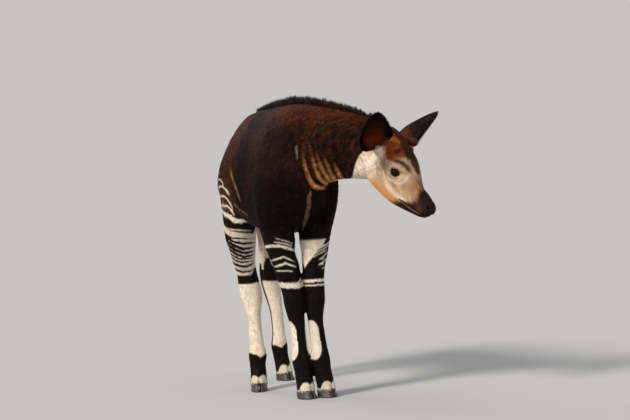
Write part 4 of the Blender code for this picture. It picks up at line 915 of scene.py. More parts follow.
def coat_colours(points):
    """The coat's colour at each point: dark trunk, reddish rump and neck, pale face with its marks, barred legs, with
    painted sheen on the shoulder, painted highlights on skin folds and painted shade on the chest and between shoulder
    and rump.
    """
    tones = COAT_TONES
    dark, rust, warm = (np.array(tones[k]) for k in ("dark", "rust", "warm"))
    local, head, ear, leg, neck, tail = coat_regions(points)
    x, y, z = points.T
    mottle = ripple(points, 0.085)
    fine = ripple(points, 0.022, 1.0)
    streak = ripple(points * np.array([1.0, 1.0, 0.16]), 0.013, 4.0)
    streak = 1.2 * streak + 0.9 * ripple(points * np.array([1.0, 1.0, 0.22]), 0.006, 6.0)
    grain = np.clip(1.0 + 0.42 * streak + 0.25 * mottle, 0.35, 1.9)
    colour = mix(np.broadcast_to(dark, points.shape), warm, np.clip(0.30 + 0.25 * mottle + 0.30 * streak, 0, 1))
    # painted sheen: a lighter brown band down the shoulder blade
    shoulder_sheen = np.exp(-(((y + 0.145) / 0.045) ** 2)) * smooth_step((z - 0.74) / 0.12)
    colour = mix(colour, (0.036, 0.0190, 0.0110), np.clip(shoulder_sheen * (0.50 + 0.25 * streak), 0, 1))
    rump = smooth_step((y - 0.00) / 0.10) * smooth_step((z - 0.66) / 0.10)
    colour = mix(colour, rust, np.clip(rump * (0.62 + 0.22 * mottle + 0.40 * streak), 0, 1))
    crest = smooth_step((z - 1.02) / 0.06) * smooth_step((-y - 0.16) / 0.10)
    colour = mix(colour, rust, np.clip(crest * (0.62 + 0.2 * fine + 0.25 * streak), 0, 1) * (1 - head))
    flank = smooth_step((1.075 - z) / 0.08)
    colour = mix(colour, (0.0125, 0.0068, 0.0042), neck * flank * 0.75)
    colour = mix(colour, rust, np.clip(neck * (0.12 + 0.22 * mottle + 0.20 * streak), 0, 1))
    # painted shade: the chest under the neck and between the forelegs, darker than the darkest coat
    chest = smooth_step((-y - 0.10) / 0.10) * smooth_step((0.91 - z) / 0.12) * (1 - neck)
    colour = mix(colour, dark * 0.40, chest * np.clip(0.85 - 0.20 * streak, 0, 1))
    # painted shade: a dark band from back to belly between the shoulder and the rump
    valley_shade = np.exp(-(((y + 0.005 + 0.12 * (1.0 - z)) / 0.030) ** 2)) * smooth_step((z - 0.66) / 0.1) * (np.abs(x) > 0.03)
    colour = mix(colour, dark * 0.6, valley_shade * 0.75)
    colour = colour * mix(grain[:, None], 1.0, head)
    low = smooth_step((0.955 - z) / 0.11)
    uneven = np.clip(0.72 + 0.30 * ripple(points, 0.030, 2.0) + 0.20 * streak, 0.15, 1.0)
    # neck folds: painted shade darkens a band along each fold line, an orange painted highlight lies on its crest, and
    # a brighter painted highlight lies on the lower folds, where the light falls on them
    for path in NECK_FOLDS:
        gap, share = line_distance(points, path)
        fading = smooth_step(share * 3) * smooth_step((1 - share) * 9)
        # painted shade in the grooves beside each fold
        colour = mix(colour, dark * 0.5, smooth_step((0.0165 - gap) / 0.010 + 0.5) * 0.75 * fading)
        # painted highlights on each fold's crest, stronger and brighter lower on the neck
        ridge = smooth_step((0.0100 * (0.35 + 0.65 * share) - gap) / 0.009 + 0.5) * uneven * fading
        colour = mix(colour, tones["warm highlight"], ridge * (0.45 + 0.50 * low))
        lit = smooth_step((0.0105 * (0.10 + 0.90 * share) - gap) / 0.008 + 0.35) * uneven * fading
        colour = mix(colour, tones["fold"], lit * low)
    # body marks, among them painted highlights along the flank's folds and at the elbow
    for path, width, tone, amount in BODY_MARKS:
        colour = mix(colour, tones[tone], near_line(points, path, width, 0.005) * amount * uneven)

    # Legs
    nearest, _, angle = leg_place(points)
    black = np.array(tones["black"]) * (1.0 + 0.25 * fine)[:, None]
    for index, name in enumerate(LEGS):
        here = nearest == index
        if name.startswith("front"):
            white = fore_pattern(z, angle, name.endswith("left"))
            base = smooth_step((0.66 - z) / 0.06)
        else:
            white = hind_pattern(z, angle, name.endswith("left")) * smooth_step((angle + 100) / 10)
            inner = smooth_step((-angle - 66) / 14) * smooth_step((z - 0.50) / 0.04) * smooth_step((0.66 - z) / 0.03)
            base = smooth_step((0.70 - z) / 0.02)
            white = np.where(angle < -90, smooth_step((0.64 - z) / 0.01) * (z > 0.47) + white * (z < 0.47), white)
            white = white * smooth_step((y - 0.045) / 0.050)
        colour = mix(colour, black, base * here)
        pale = mix(np.broadcast_to(tones["white"], points.shape), tones["cream"], np.clip(0.35 + 0.35 * mottle, 0, 1))
        if name.startswith("hind"):
            pale = mix(pale, tones["pink"], inner * 0.6)
        colour = mix(colour, pale, np.clip(white, 0, 1) * here * (z < 0.88))
    arch = np.abs(np.abs(angle - 4) - 30) / 42
    coronet = 0.064 - 0.020 * np.clip(arch, 0, 1.2) ** 2
    colour = mix(colour, pale * 0.82, smooth_step((coronet - z) / 0.005 + 0.5))

    # Head and ears
    colour = mix(colour, face_colours(local, mottle, fine), head)
    colour = mix(colour, ear_colours(local), ear)
    return mix(colour, tones["black"], tail) * (1 + 0.10 * fine)[:, None]


def face_colours(local, mottle, fine):
    """Cream-grey face: rusty forehead, dark strip down the nose, dark muzzle, warm jaw, a pale arc under each eye and a
    pale streak along the jaw as painted highlights, and painted shade by the left ear's root.
    """
    tones = COAT_TONES
    side = mirrored(local)
    flat = side[:, :2]
    u, v, w = side.T
    colour = mix(np.broadcast_to(tones["face"], local.shape), tones["face grey"], np.clip(0.35 + 0.4 * mottle, 0, 1))
    jaw_top = np.interp(u, (0.08, 0.120, 0.144, 0.181, 0.221, 0.251), (0.168, 0.157, 0.137, 0.123, 0.112, 0.102))
    jaw = smooth_step((-v - jaw_top) / 0.020 + 0.5) * smooth_step((u - 0.085) / 0.06)
    throat = smooth_step((0.125 - u) / 0.04) * smooth_step((-v - 0.095) / 0.03)
    colour = mix(colour, tones["white"], throat * np.clip(0.60 + 0.3 * fine, 0, 1))
    colour = mix(colour, tones["jaw"], jaw * smooth_step((0.262 - u) / 0.03) * np.clip(0.88 + 0.2 * fine, 0, 1))
    bridge = smooth_step((u - 0.165) / 0.06) * smooth_step((v + 0.075) / 0.040)
    colour = mix(colour, tones["bridge"], bridge * np.clip(0.75 + 0.25 * fine, 0, 1))
    specks = smooth_step((ripple(local, 0.006, 11.0) - 0.1) / 0.4) * smooth_step((0.030 - w) / 0.012)
    colour = mix(colour, tones["muzzle side"], specks * smooth_step((u - 0.180) / 0.04) * 0.75)
    # marks of the face, among them painted highlights along its ridges
    for path, width, tone, amount in FACE_MARKS:
        colour = mix(colour, tones[tone], near_line(flat, path, width, 0.013) * amount)
    # rust over the forehead, darker towards the poll
    low = np.interp(u, (0.00, 0.041, 0.069, 0.087, 0.100, 0.110), (0.060, 0.045, 0.056, 0.058, 0.040, 0.022))
    edge = np.interp(w, (0.0, 0.03, 0.048, 0.056), (0.130, 0.112, 0.107, 0.104))
    rust = smooth_step((edge - u) / 0.016 + 0.5) * smooth_step((v + low) / 0.014 + 0.5)
    colour = mix(colour, tones["forehead"], rust * np.clip(0.94 + 0.2 * fine, 0, 1))
    streak = ripple(local * np.array([0.22, 1.0, 1.0]), 0.008, 9.0)
    over = np.maximum(smooth_step((0.052 - u) / 0.045), smooth_step((v - 0.004) / 0.020))
    colour = mix(colour, tones["poll"], rust * np.clip(over * 0.80 + 0.32 * streak, 0, 0.95))
    # painted shade: the left side of the forehead by the left ear's root, darkened with the nose strip's brown on this
    # side only
    left_root_shade = smooth_step((local[:, 2] - 0.050) / 0.010) * smooth_step((0.085 - u) / 0.020) * smooth_step((v + 0.05) / 0.02)
    colour = mix(colour, tones["strip"], left_root_shade * 0.85)
    whorl = np.exp(-((np.hypot(u - 0.081, w - 0.046) / 0.009) ** 2)) * (v > -0.03)
    colour = mix(colour, tones["strip"], whorl * 0.8)
    width = np.interp(u, (-0.02, 0.044, 0.077, 0.106, 0.135, 0.167, 0.196), (0.030, 0.019, 0.029, 0.033, 0.027, 0.016, 0.002))
    ragged = width + 0.005 * fine + 0.004 * ripple(local, 0.008, 5.0)
    strip = smooth_step((ragged - w) / 0.008 + 0.4) * smooth_step((0.200 - u) / 0.02) * (v > -0.06)
    colour = mix(colour, tones["strip"], strip * 0.92)
    # dark muzzle and lips
    edge = np.interp(v, (-0.115, -0.095, -0.063, -0.034, -0.021, -0.010, 0.02), (0.232, 0.248, 0.268, 0.270, 0.252, 0.234, 0.222))
    edge = edge + 0.005 * fine + 0.003 * ripple(local, 0.006, 7.0)
    muzzle = smooth_step((u - edge) / 0.026 + 0.75)
    colour = mix(colour, tones["muzzle side"], muzzle * 0.92)
    deep = smooth_step((u - edge - 0.004) / 0.018 + 0.3)
    lip_patch = np.exp(-((np.hypot((u - 0.300) / 0.022, (v + 0.044) / 0.013)) ** 2))
    colour = mix(colour, tones["muzzle"], deep * (1 - 0.45 * lip_patch))
    gap, _ = line_distance(flat, MOUTH)
    mouth_v = np.interp(u, (0.20, 0.228, 0.250, 0.28, 0.305, 0.34), (0.112, 0.1065, 0.094, 0.077, 0.061, 0.034))
    chin = smooth_step((-v - mouth_v) / 0.004) * smooth_step((u - 0.232) / 0.025)
    colour = mix(colour, tones["muzzle"], chin * 0.93)
    chin_edge = smooth_step((-v - mouth_v - 0.020) / 0.008) * smooth_step((u - 0.225) / 0.02) * smooth_step((0.300 - u) / 0.02)
    colour = mix(colour, tones["muzzle side"], chin_edge * 0.75)
    pale_lip = smooth_step((0.0026 - np.abs(-v - mouth_v - 0.0052)) / 0.002) * (u > 0.238) * (u < 0.318)
    colour = mix(colour, tones["lip"], pale_lip * 0.60)
    colour = mix(colour, tones["muzzle"], smooth_step((0.0030 - gap) / 0.002) * (u > 0.222))
    # dark lids
    _, almond = lid_measure(local)
    lids = smooth_step((1.34 - almond) / 0.20) * (np.linalg.norm(side - np.array(EYE_PLACE), axis=1) < 0.034)
    return mix(colour, tones["black"], lids)


def ear_colours(local):
    """Near-black rims and backs, with a dark red hollow and a rusty root."""
    colour = np.broadcast_to(COAT_TONES["ear"], local.shape)
    for name in EARS:
        line = ear_line(name, np.linspace(0.0, 1.0, 20))
        gap, share = line_distance(local, line)
        near = (gap < 0.080) * (np.sign(local[:, 2]) == np.sign(EARS[name][0][2]))
        ways = unit(ear_line(name, np.clip(share + 0.04, 0, 1)) - ear_line(name, np.clip(share - 0.04, 0, 1)))
        opening = np.array(EARS[name][2])
        facing = unit(opening - ways * (ways @ opening)[:, None])
        offset = local - ear_line(name, share)
        ahead = (offset * facing).sum(axis=1)
        aside = np.abs((offset * np.cross(ways, facing)).sum(axis=1))
        sizes = np.array([np.interp(share, [row[0] for row in EAR_SECTIONS], [row[k] for row in EAR_SECTIONS]) for k in (1, 2)])
        rounded = np.sqrt(np.clip(1 - (aside / sizes[0]) ** 2, 0, 1)) * sizes[1]
        inner = smooth_step((ahead + rounded - 0.4 * sizes[1] - 0.0012) / 0.0022) * near
        middle = smooth_step((0.86 * sizes[0] - aside) / 0.012)
        inside = inner * middle * smooth_step((0.90 - share) / 0.2)
        colour = mix(colour, COAT_TONES["ear inside"], inside * np.clip(0.75 + 0.35 * ripple(local, 0.012, 3.0), 0, 1))
        root = smooth_step((0.70 - share) / 0.48) * near
        centre = smooth_step((0.80 - aside / sizes[0]) / 0.50)
        colour = mix(colour, COAT_TONES["forehead"], root * centre * np.where(inner > 0.5, 0.60, 0.42))
        colour = mix(colour, COAT_TONES["strip"], smooth_step((0.24 - share) / 0.12) * near * 0.80)
        colour = mix(colour, COAT_TONES["face"], smooth_step((0.09 - share) / 0.05) * near * (inner < 0.5))
    return colour


def lie_ways(points, local, head, ear, leg, neck, tail):
    """The way the hair lies: back and down on the trunk, down the legs, from nose to poll on the head."""
    axes = head_axes()
    x, y, z = points.T
    down = smooth_step((1.06 - z) / 0.20)
    ways = np.column_stack([np.zeros(len(points)), np.full(len(points), 0.9), -0.75 * down])
    back_neck = -unit(NECK_START_WAY) + np.array([0.0, 0.0, -0.25])
    ways += (unit(back_neck) - ways) * neck[:, None]
    ways += (np.array([0.0, 0.10, -1.0]) - ways) * leg[:, None]
    up_face = -axes[0] * 1.0 + np.outer(local[:, 2] * 6, axes[2]) - axes[1] * 0.25
    ways += (up_face - ways) * head[:, None]
    for name in EARS:
        path = ear_line(name, np.linspace(0.0, 1.0, 20))
        gap, share = line_distance(local, path)
        out = unit(ear_line(name, np.clip(share + 0.05, 0, 1)) - ear_line(name, np.clip(share - 0.05, 0, 1))) @ axes
        mine = ear * (gap < 0.08) * (np.sign(local[:, 2]) == np.sign(EARS[name][0][2]))
        ways += (out - ways) * mine[:, None]
    ways += (np.array([0.0, 0.05, -1.0]) - ways) * tail[:, None]
    return unit(ways)


def coat_sizes(points, local, head, ear, leg, neck):
    """Length, width and lift of a tuft: longest on the trunk, smallest on the face and feet."""
    length = 0.0140 + 0.003 * smooth_step((0.75 - points[:, 2]) / 0.1)
    width = np.full(len(points), 0.0017)
    length += (0.0120 - length) * neck
    length += (0.0068 - length) * leg
    width += (0.0013 - width) * leg
    length += (0.0052 - length) * smooth_step((0.10 - points[:, 2]) / 0.04)
    length += (0.0120 - length) * smooth_step((0.044 - points[:, 2]) / 0.006)
    eye_gap = np.linalg.norm(mirrored(local) - np.array(EYE_PLACE), axis=1)
    face = 0.0062 - 0.0026 * smooth_step((0.040 - eye_gap) / 0.015) - 0.0026 * smooth_step((local[:, 0] - 0.26) / 0.04)
    length += (face - length) * head
    width += (0.0010 - width) * head
    length += (0.0080 - length) * ear
    width += (0.0011 - width) * ear
    banded = smooth_step((0.87 - points[:, 2]) / 0.04) * smooth_step((points[:, 1] - 0.03) / 0.04) * (points[:, 2] > 0.6)
    fore = smooth_step((0.67 - points[:, 2]) / 0.02) * (points[:, 2] > 0.6)
    short = np.maximum(banded, fore)
    length += (0.0078 - length) * short
    width += (0.0013 - width) * short
    return length, width, length * (0.12 - 0.04 * head)


def make_skin(settings):
    """One closed skin: the shells melted together, smoothed, the face opened and folded, and drawn in by the coat's depth."""
    points, faces, start = [], [], 0
    for shell_points, shell_faces in skin_shells():
        points.append(shell_points)
        faces += [[i + start for i in face] for face in shell_faces]
        start += len(shell_points)
    skin = add_object("okapi_skin", np.concatenate(points), faces)
    remesh = skin.modifiers.new("Melt", "REMESH")
    remesh.mode = "VOXEL"
    remesh.voxel_size = SKIN_VOXEL
    settle(skin)
    at = points_of(skin)
    ahead = (at - np.array(NECK_END)) @ unit(NECK_END_WAY)
    trunk = smooth_step((at[:, 2] - 0.56) / 0.10) * smooth_step((0.02 - ahead) / 0.06)
    tail = (at[:, 1] > 0.462) & (at[:, 2] < 0.92)
    relax(skin, np.where(tail, 0.15, np.maximum(trunk, 0.30)), FACE_ROUNDS)
    relax(skin, trunk * ~tail, TRUNK_ROUNDS)

    group = skin.vertex_groups.new(name="fine")
    at = points_of(skin)
    keep = np.where((at[:, 2] > 0.68) & (ahead < 0.0), 0, 1)
    group.add(np.flatnonzero(keep).tolist(), 1.0, "REPLACE")
    fewer = skin.modifiers.new("Fewer", "DECIMATE")
    fewer.ratio = SKIN_SHARE
    fewer.vertex_group = "fine"
    fewer.invert_vertex_group = True
    settle(skin)

    subdivide_near(skin, lambda p: (to_head(p)[:, 0] > 0.02) & ((p - np.array(NECK_END)) @ unit(NECK_END_WAY) > 0.0))
    subdivide_near(skin, near_features)
    subdivide_near(skin, near_eyes)
    at = points_of(skin)
    relax(skin, (to_head(at)[:, 0] > 0.0) * ((at - np.array(NECK_END)) @ unit(NECK_END_WAY) > 0.0) * 1.0, 4)
    local = shape_eyes(shape_face(to_head(points_of(skin))))
    put_points(skin, from_head(local))
    put_points(skin, shape_feet(shape_neck(points_of(skin), normals_of(skin))))

    for name in EARS:
        rings = ear_rings(name, 34, 24, EAR_STUB_DEPTH * 0.6)
        ear = add_object("ear", from_head(rings.reshape(-1, 3)), ring_faces(*rings.shape[:2]))
        union = skin.modifiers.new("Ear", "BOOLEAN")
        union.operation = "UNION"
        union.solver = "MANIFOLD"
        union.object = ear
        settle(skin)
        bpy.data.objects.remove(ear)

    at = points_of(skin)
    local, head, ear, leg, neck, tail = coat_regions(at)
    length, _, lift = coat_sizes(at, local, head, ear, leg, neck)
    _, almond = lid_measure(local)
    eyes = smooth_step((1.6 - almond) / 0.3) * head
    depth = lift * settings.coat_depth * (1 - eyes) * (1 - 0.8 * ear)
    put_points(skin, at - normals_of(skin) * depth[:, None])
    at = points_of(skin)
    paint(skin, "coat", coat_colours(at))
    return skin


def near_features(points):
    """Skin to model finely: round the mouth, the nostrils, the eyes and the folds of the face."""
    local = to_head(points)
    side = mirrored(local)
    gap, _ = line_distance(side[:, :2], MOUTH)
    mouth = (gap < 0.012) & (local[:, 0] > 0.215)
    nose = np.linalg.norm(side - np.array(NOSTRIL), axis=1) < 0.024
    eye = np.linalg.norm(side - np.array(EYE_PLACE), axis=1) < 0.032
    return mouth | nose | eye


def near_eyes(points):
    return np.linalg.norm(mirrored(to_head(points)) - np.array(EYE_PLACE), axis=1) < 0.0245


def coat_material(name, settings, attribute="coat", strength=0.25):
    """Hair: colour from the points' own attribute, broken up by fine noise, with a soft sheen and a fine bump."""
    material = bpy.data.materials.new(name)
    material.use_nodes = True
    tree = material.node_tree
    shader = tree.nodes["Principled BSDF"]
    shader.inputs["Roughness"].default_value = settings.roughness
    shader.inputs["Specular IOR Level"].default_value = settings.gloss
    shader.inputs["Sheen Weight"].default_value = settings.sheen
    shader.inputs["Sheen Roughness"].default_value = 0.45
    shader.inputs["Sheen Tint"].default_value = (0.85, 0.62, 0.48, 1.0)
    colour = tree.nodes.new("ShaderNodeAttribute")
    colour.attribute_name = attribute
    place = tree.nodes.new("ShaderNodeTexCoord")
    noise = tree.nodes.new("ShaderNodeTexNoise")
    noise.inputs["Scale"].default_value = 260.0
    noise.inputs["Detail"].default_value = 5.0
    tree.links.new(place.outputs["Object"], noise.inputs["Vector"])
    shade = tree.nodes.new("ShaderNodeMapRange")
    shade.inputs["From Min"].default_value = 0.25
    shade.inputs["From Max"].default_value = 0.75
    shade.inputs["To Min"].default_value = 0.80
    shade.inputs["To Max"].default_value = 1.15
    tree.links.new(noise.outputs["Fac"], shade.inputs["Value"])
    blend = tree.nodes.new("ShaderNodeVectorMath")
    blend.operation = "SCALE"
    tree.links.new(colour.outputs["Color"], blend.inputs[0])
    tree.links.new(shade.outputs["Result"], blend.inputs["Scale"])
    tree.links.new(blend.outputs["Vector"], shader.inputs["Base Color"])
    bump = tree.nodes.new("ShaderNodeBump")
    bump.inputs["Strength"].default_value = strength
    bump.inputs["Distance"].default_value = 0.002
    tree.links.new(noise.outputs["Fac"], bump.inputs["Height"])
    tree.links.new(bump.outputs["Normal"], shader.inputs["Normal"])
    return material


def scatter(points, triangles, weights, count, rng):
    """Random places on the triangles, as many for each as its area times its weight asks."""
    corners = points[triangles]
    area = np.linalg.norm(np.cross(corners[:, 1] - corners[:, 0], corners[:, 2] - corners[:, 0]), axis=1) / 2
    share = np.cumsum(area * weights)
    chosen = np.searchsorted(share, rng.uniform(0, share[-1], count))
    a, b = rng.uniform(size=(2, count))
    turn = a + b > 1
    a, b = np.where(turn, 1 - a, a), np.where(turn, 1 - b, b)
    return chosen, np.stack([1 - a - b, a, b], axis=1)


def tufts(roots, normals, ways, length, width, lift, ridge):
    """Flat leaf-shaped tufts of six triangles: a root under the skin, two sides, a raised middle and a tip."""
    sides = np.cross(normals, ways)
    length, width, lift = length[:, None], width[:, None], lift[:, None]
    root = roots - normals * 0.0006
    middle = roots + ways * length * 0.40 + normals * lift * 0.75
    left = middle + sides * width / 2
    right = middle - sides * width / 2
    top = middle + ways * length * 0.04 + normals * width * ridge
    tip = roots + ways * length + normals * lift
    points = np.stack([root, left, right, top, tip], axis=1).reshape(-1, 3)
    pattern = np.array([[0, 2, 3], [0, 3, 1], [2, 4, 3], [3, 4, 1], [0, 1, 4], [0, 4, 2]])
    faces = (np.arange(len(roots)) * 5)[:, None, None] + pattern
    return points, faces.reshape(-1, 3)


def add_unwrap(obj, place, corners_each, local_place):
    """The OFBake map: each tuft is a patch 0.003 across at its root's place on the unwrapped skin."""
    layer = obj.data.uv_layers.new(name="OFBake")
    per_point = np.repeat(place, corners_each, axis=0) + 0.0015 * local_place
    index = np.empty(len(obj.data.loops), np.int32)
    obj.data.loops.foreach_get("vertex_index", index)
    layer.data.foreach_set("uv", np.clip(per_point[index], 0, 1).astype(np.float32).ravel())


def unwrap(points, part):
    """A place between 0 and 1 for each root: along its part one way, and round it the other."""
    local = to_head(points)
    x, y, z = points.T
    if part == "head":
        along = (local[:, 0] + 0.08) / 0.44
        around = np.arctan2(local[:, 2], local[:, 1] + 0.065)
    elif part == "ears":
        along = np.clip((np.abs(local[:, 2]) - 0.05) / 0.14, 0, 1) * 0.9
        around = np.arctan2(local[:, 0] - 0.01, local[:, 1] + 0.02)
        along = along * 0.5 + np.where(local[:, 2] > 0, 0.5, 0.0)
    elif part.startswith("legs"):
        nearest, _, angle = leg_place(points)
        along = z / 0.72
        return np.column_stack([along * 0.98 + 0.01, (nearest % 2) * 0.5 + (angle / 360 + 0.5) * 0.48 + 0.01])
    elif part == "neck":
        along = ((points - np.array(NECK_START)) @ unit(NECK_START_WAY) + 0.10) / 0.36
        around = np.arctan2(x - np.interp(-y, (0.2, 0.63), (0.0, 0.25)), z - 0.95)
    else:
        along = (y + 0.45) / 0.96
        around = np.arctan2(x, z - 0.85)
    return np.column_stack([np.clip(along, 0, 1) * 0.98 + 0.01, (around / (2 * math.pi) + 0.5) * 0.98 + 0.01])


def make_coat(settings, skin):
    """Short hair in overlapping tufts all over the skin, in one piece for each part of the body."""
    shift = np.array(ORIGIN_SHIFT)
    at = points_of(skin) - shift
    normals = normals_of(skin)
    triangles = triangles_of(skin)
    middles = at[triangles].mean(axis=1)
    local, head, ear, leg, neck, tail = coat_regions(middles)
    side = mirrored(local)
    _, almond = lid_measure(local)
    eye_gap = np.linalg.norm(side - np.array(EYE_PLACE), axis=1)
    bare = (eye_gap < 0.030) & (almond < 1.35)
    bare |= np.linalg.norm(side - np.array(NOSTRIL), axis=1) < 0.013
    gap, _ = line_distance(side[:, :2], MOUTH)
    bare |= (gap < 0.003) & (local[:, 0] > 0.215) & (head > 0.5)
    bare |= middles[:, 2] < 0.012
    weight = np.ones(len(middles))
    weight *= 1 + 1.6 * head + 0.8 * leg + 1.2 * ear
    weight[bare] = 0.0
    front = middles[:, 1] < -0.02
    right = middles[:, 0] < 0.0
    part = np.select(
        [ear > 0.5, head > 0.5, (leg > 0.5) & front, leg > 0.5, (neck > 0.5)],
        [0, 1, 2, 3, 4],
        default=np.select([front & right, front, right], [5, 6, 7], default=8),
    )
    names = ("ears", "head", "legs_front", "legs_hind", "neck", "chest_right", "chest_left", "rump_right", "rump_left")
    counts = (9000, 32000, 26000, 30000, 22000, 22000, 22000, 30000, 30000)
    rng = np.random.default_rng(SEED)
    material = coat_material("short coat", settings, strength=0.15)
    for index, (name, count) in enumerate(zip(names, counts)):
        mine = np.flatnonzero(part == index)
        count = int(count * settings.coat_density * (1.0))
        chosen, shares = scatter(at, triangles[mine], weight[mine], count, rng)
        corners = triangles[mine][chosen]
        roots = (at[corners] * shares[..., None]).sum(axis=1)
        out = unit((normals[corners] * shares[..., None]).sum(axis=1))
        regions = coat_regions(roots)
        ways = lie_ways(roots, *regions)
        swirl = ripple(roots, 0.09, 3.0)[:, None] * 0.12 + rng.normal(0, 0.07, (count, 1))
        ways = unit(ways - out * (ways * out).sum(axis=1, keepdims=True))
        ways = unit(ways + np.cross(out, ways) * swirl)
        length, width, lift = coat_sizes(roots, *regions[:5])
        vary = rng.uniform(0.75, 1.30, count)
        lift = lift * settings.coat_depth * rng.uniform(0.6, 1.2, count)
        length = length * vary * settings.hair_length
        points, faces = tufts(roots, out, ways, length, width * vary, lift, 0.22)
        coat = add_triangles("okapi_coat_" + name, points, faces)
        near = coat_colours(roots + ways * length[:, None] * 0.15)
        far = coat_colours(roots + ways * length[:, None] * 0.75)
        tone = np.stack([near, (near + far) / 2, (near + far) / 2, (near + far) / 2, far], axis=1)
        # painted shade: each tuft darker at its root, where it lies under its neighbours, a little lighter at its tip,
        # and varied at random
        tone *= np.array([0.80, 0.94, 0.94, 1.0, 1.06])[None, :, None] * rng.uniform(0.90, 1.12, (count, 1, 1))
        paint(coat, "coat", tone.reshape(-1, 3))
        shape = np.tile(np.array([(-1, 0), (-0.2, 1), (-0.2, -1), (-0.1, 0), (1, 0)], float), (count, 1))
        add_unwrap(coat, unwrap(roots, name), 5, shape)
        dress(coat, material)


def crest_line(count):
    """The top of the back and neck from the loins to the poll, as evenly spaced points."""
    last, first = MANE_TRUNK_ROWS
    back = [(0.0, row[0], row[1]) for row in TRUNK[last:first - 1:-1]]
    neck = [(row[0], row[1], row[2]) for row in NECK[MANE_NECK_ROWS[0]:MANE_NECK_ROWS[1]]]
    rows = np.array(back + neck)
    return faired(np.column_stack([rows, np.zeros(len(rows))]), count)[:, :3]


def strands(roots, ways, wide, bend, length, width, thickness, sink, rings=5):
    """Thin tapered locks of three sides: rings carried from the root along one way and bent over towards another."""
    share = np.linspace(0.0, 1.0, rings)[None, :, None]
    across = unit(np.cross(ways, wide))[:, None]
    ways, wide, bend = ways[:, None], wide[:, None], bend[:, None]
    length, width = length[:, None, None], width[:, None, None]
    middle = roots[:, None] + ways * (length * share - sink * (1 - share)) + bend * length * share**2
    narrow = np.maximum(1 - share**2.2, 0.02) * width / 2
    flat = narrow * thickness
    ring = np.stack([middle + wide * narrow, middle + across * flat, middle - wide * narrow - across * flat * 0.3], axis=2)
    points = ring[:, :-1].reshape(len(roots), -1, 3)
    tip = middle[:, -1]
    points = np.concatenate([points, tip[:, None]], axis=1)
    each = (rings - 1) * 3 + 1
    pattern = []
    for r in range(rings - 2):
        for k in range(3):
            a, b = r * 3 + k, r * 3 + (k + 1) % 3
            pattern += [(a, b, b + 3), (a, b + 3, a + 3)]
    last = (rings - 2) * 3
    pattern += [(last + k, last + (k + 1) % 3, each - 1) for k in range(3)]
    pattern.append((2, 1, 0))
    faces = (np.arange(len(roots)) * each)[:, None, None] + np.array(pattern)
    points = points.reshape(-1, 3)
    faces = faces.reshape(-1, 3)
    corners = points[faces]
    volume = np.einsum("ij,ij->i", corners[:, 0], np.cross(corners[:, 1], corners[:, 2]))
    inside_out = volume.reshape(len(roots), -1).sum(axis=1) < 0
    flip = np.repeat(inside_out, len(pattern))
    faces[flip] = faces[flip][:, ::-1]
    return points, faces, each


def hair_piece(name, made, tone, place, material, tips=1.6):
    """Strands as one object, darker at the root and lighter towards their tips, as painted highlights."""
    points, faces, each = made
    obj = add_triangles(name, points, faces)
    # painted highlight: each strand's tone rises from its root to its tip
    rise = np.linspace(0, 1, each)[None, :, None]
    tone = tone[:, None] * (0.8 + (tips - 0.8) * rise)
    paint(obj, "coat", tone.reshape(-1, 3))
    shape = np.tile(np.column_stack([np.linspace(-1, 1, each), np.tile((1.0, 0.0, -1.0), each)[:each]]), (len(place), 1))
    add_unwrap(obj, place, each, shape)
    dress(obj, material)
    return obj


def make_mane(settings, material):
    """The upright mane: thousands of fine locks in a narrow band on the crest, leaning back at their tips."""
    rng = np.random.default_rng(SEED + 1)
    count = int(settings.mane_locks * (1.0))
    line = crest_line(400)
    share = np.sort(rng.uniform(0, MANE_LAST, count))
    place = (share * 399).astype(int)
    forward = unit(np.gradient(line, axis=0))[place]
    left = unit(np.cross(np.broadcast_to((0.0, 0.0, 1.0), forward.shape), forward))
    up = np.cross(forward, left)
    off = rng.normal(0, 0.0042, (count, 1))
    roots = line[place] + left * off - up * (np.abs(off) * 0.35 + 0.004)
    clump = np.floor(share * MANE_CLUMPS + rng.uniform(-0.35, 0.35, count)).astype(int).clip(0, MANE_CLUMPS)
    clump_middle = (clump + 0.5) / MANE_CLUMPS
    clump_lean, clump_side, clump_tall = rng.uniform(size=(3, MANE_CLUMPS + 1))
    inwards = (clump_middle - share)[:, None] * MANE_CLUMPS * 0.9
    ways = unit(up + left * off * 30 + rng.normal(0, 0.05, (count, 3)))
    bend = forward * (inwards * 0.32 - 0.05 - 0.42 * clump_lean[clump, None])
    bend += left * (clump_side[clump, None] - 0.5) * 0.45 + rng.normal(0, 0.04, (count, 3))
    tall = (0.76 + 0.36 * clump_tall[clump]) * (1 - 0.30 * np.abs(inwards[:, 0]) ** 2)
    length = (np.interp(share, MANE_SHARES, MANE_HEIGHTS) + 0.006) * tall * rng.uniform(0.85, 1.06, count)
    width = rng.uniform(0.0016, 0.0032, count)
    wide = unit(np.cross(left + rng.normal(0, 0.5, (count, 3)), ways))
    made = strands(roots, ways, wide, bend, length, width, 0.5, 0.006)
    tone = np.array(COAT_TONES["mane"]) * rng.uniform(0.6, 1.6, (count, 1))
    # the mane's tips painted much lighter, as highlights
    return hair_piece("okapi_mane", made, tone, np.column_stack([share * 0.98 + 0.01, off[:, 0] * 12 + 0.5]), material, tips=2.3)


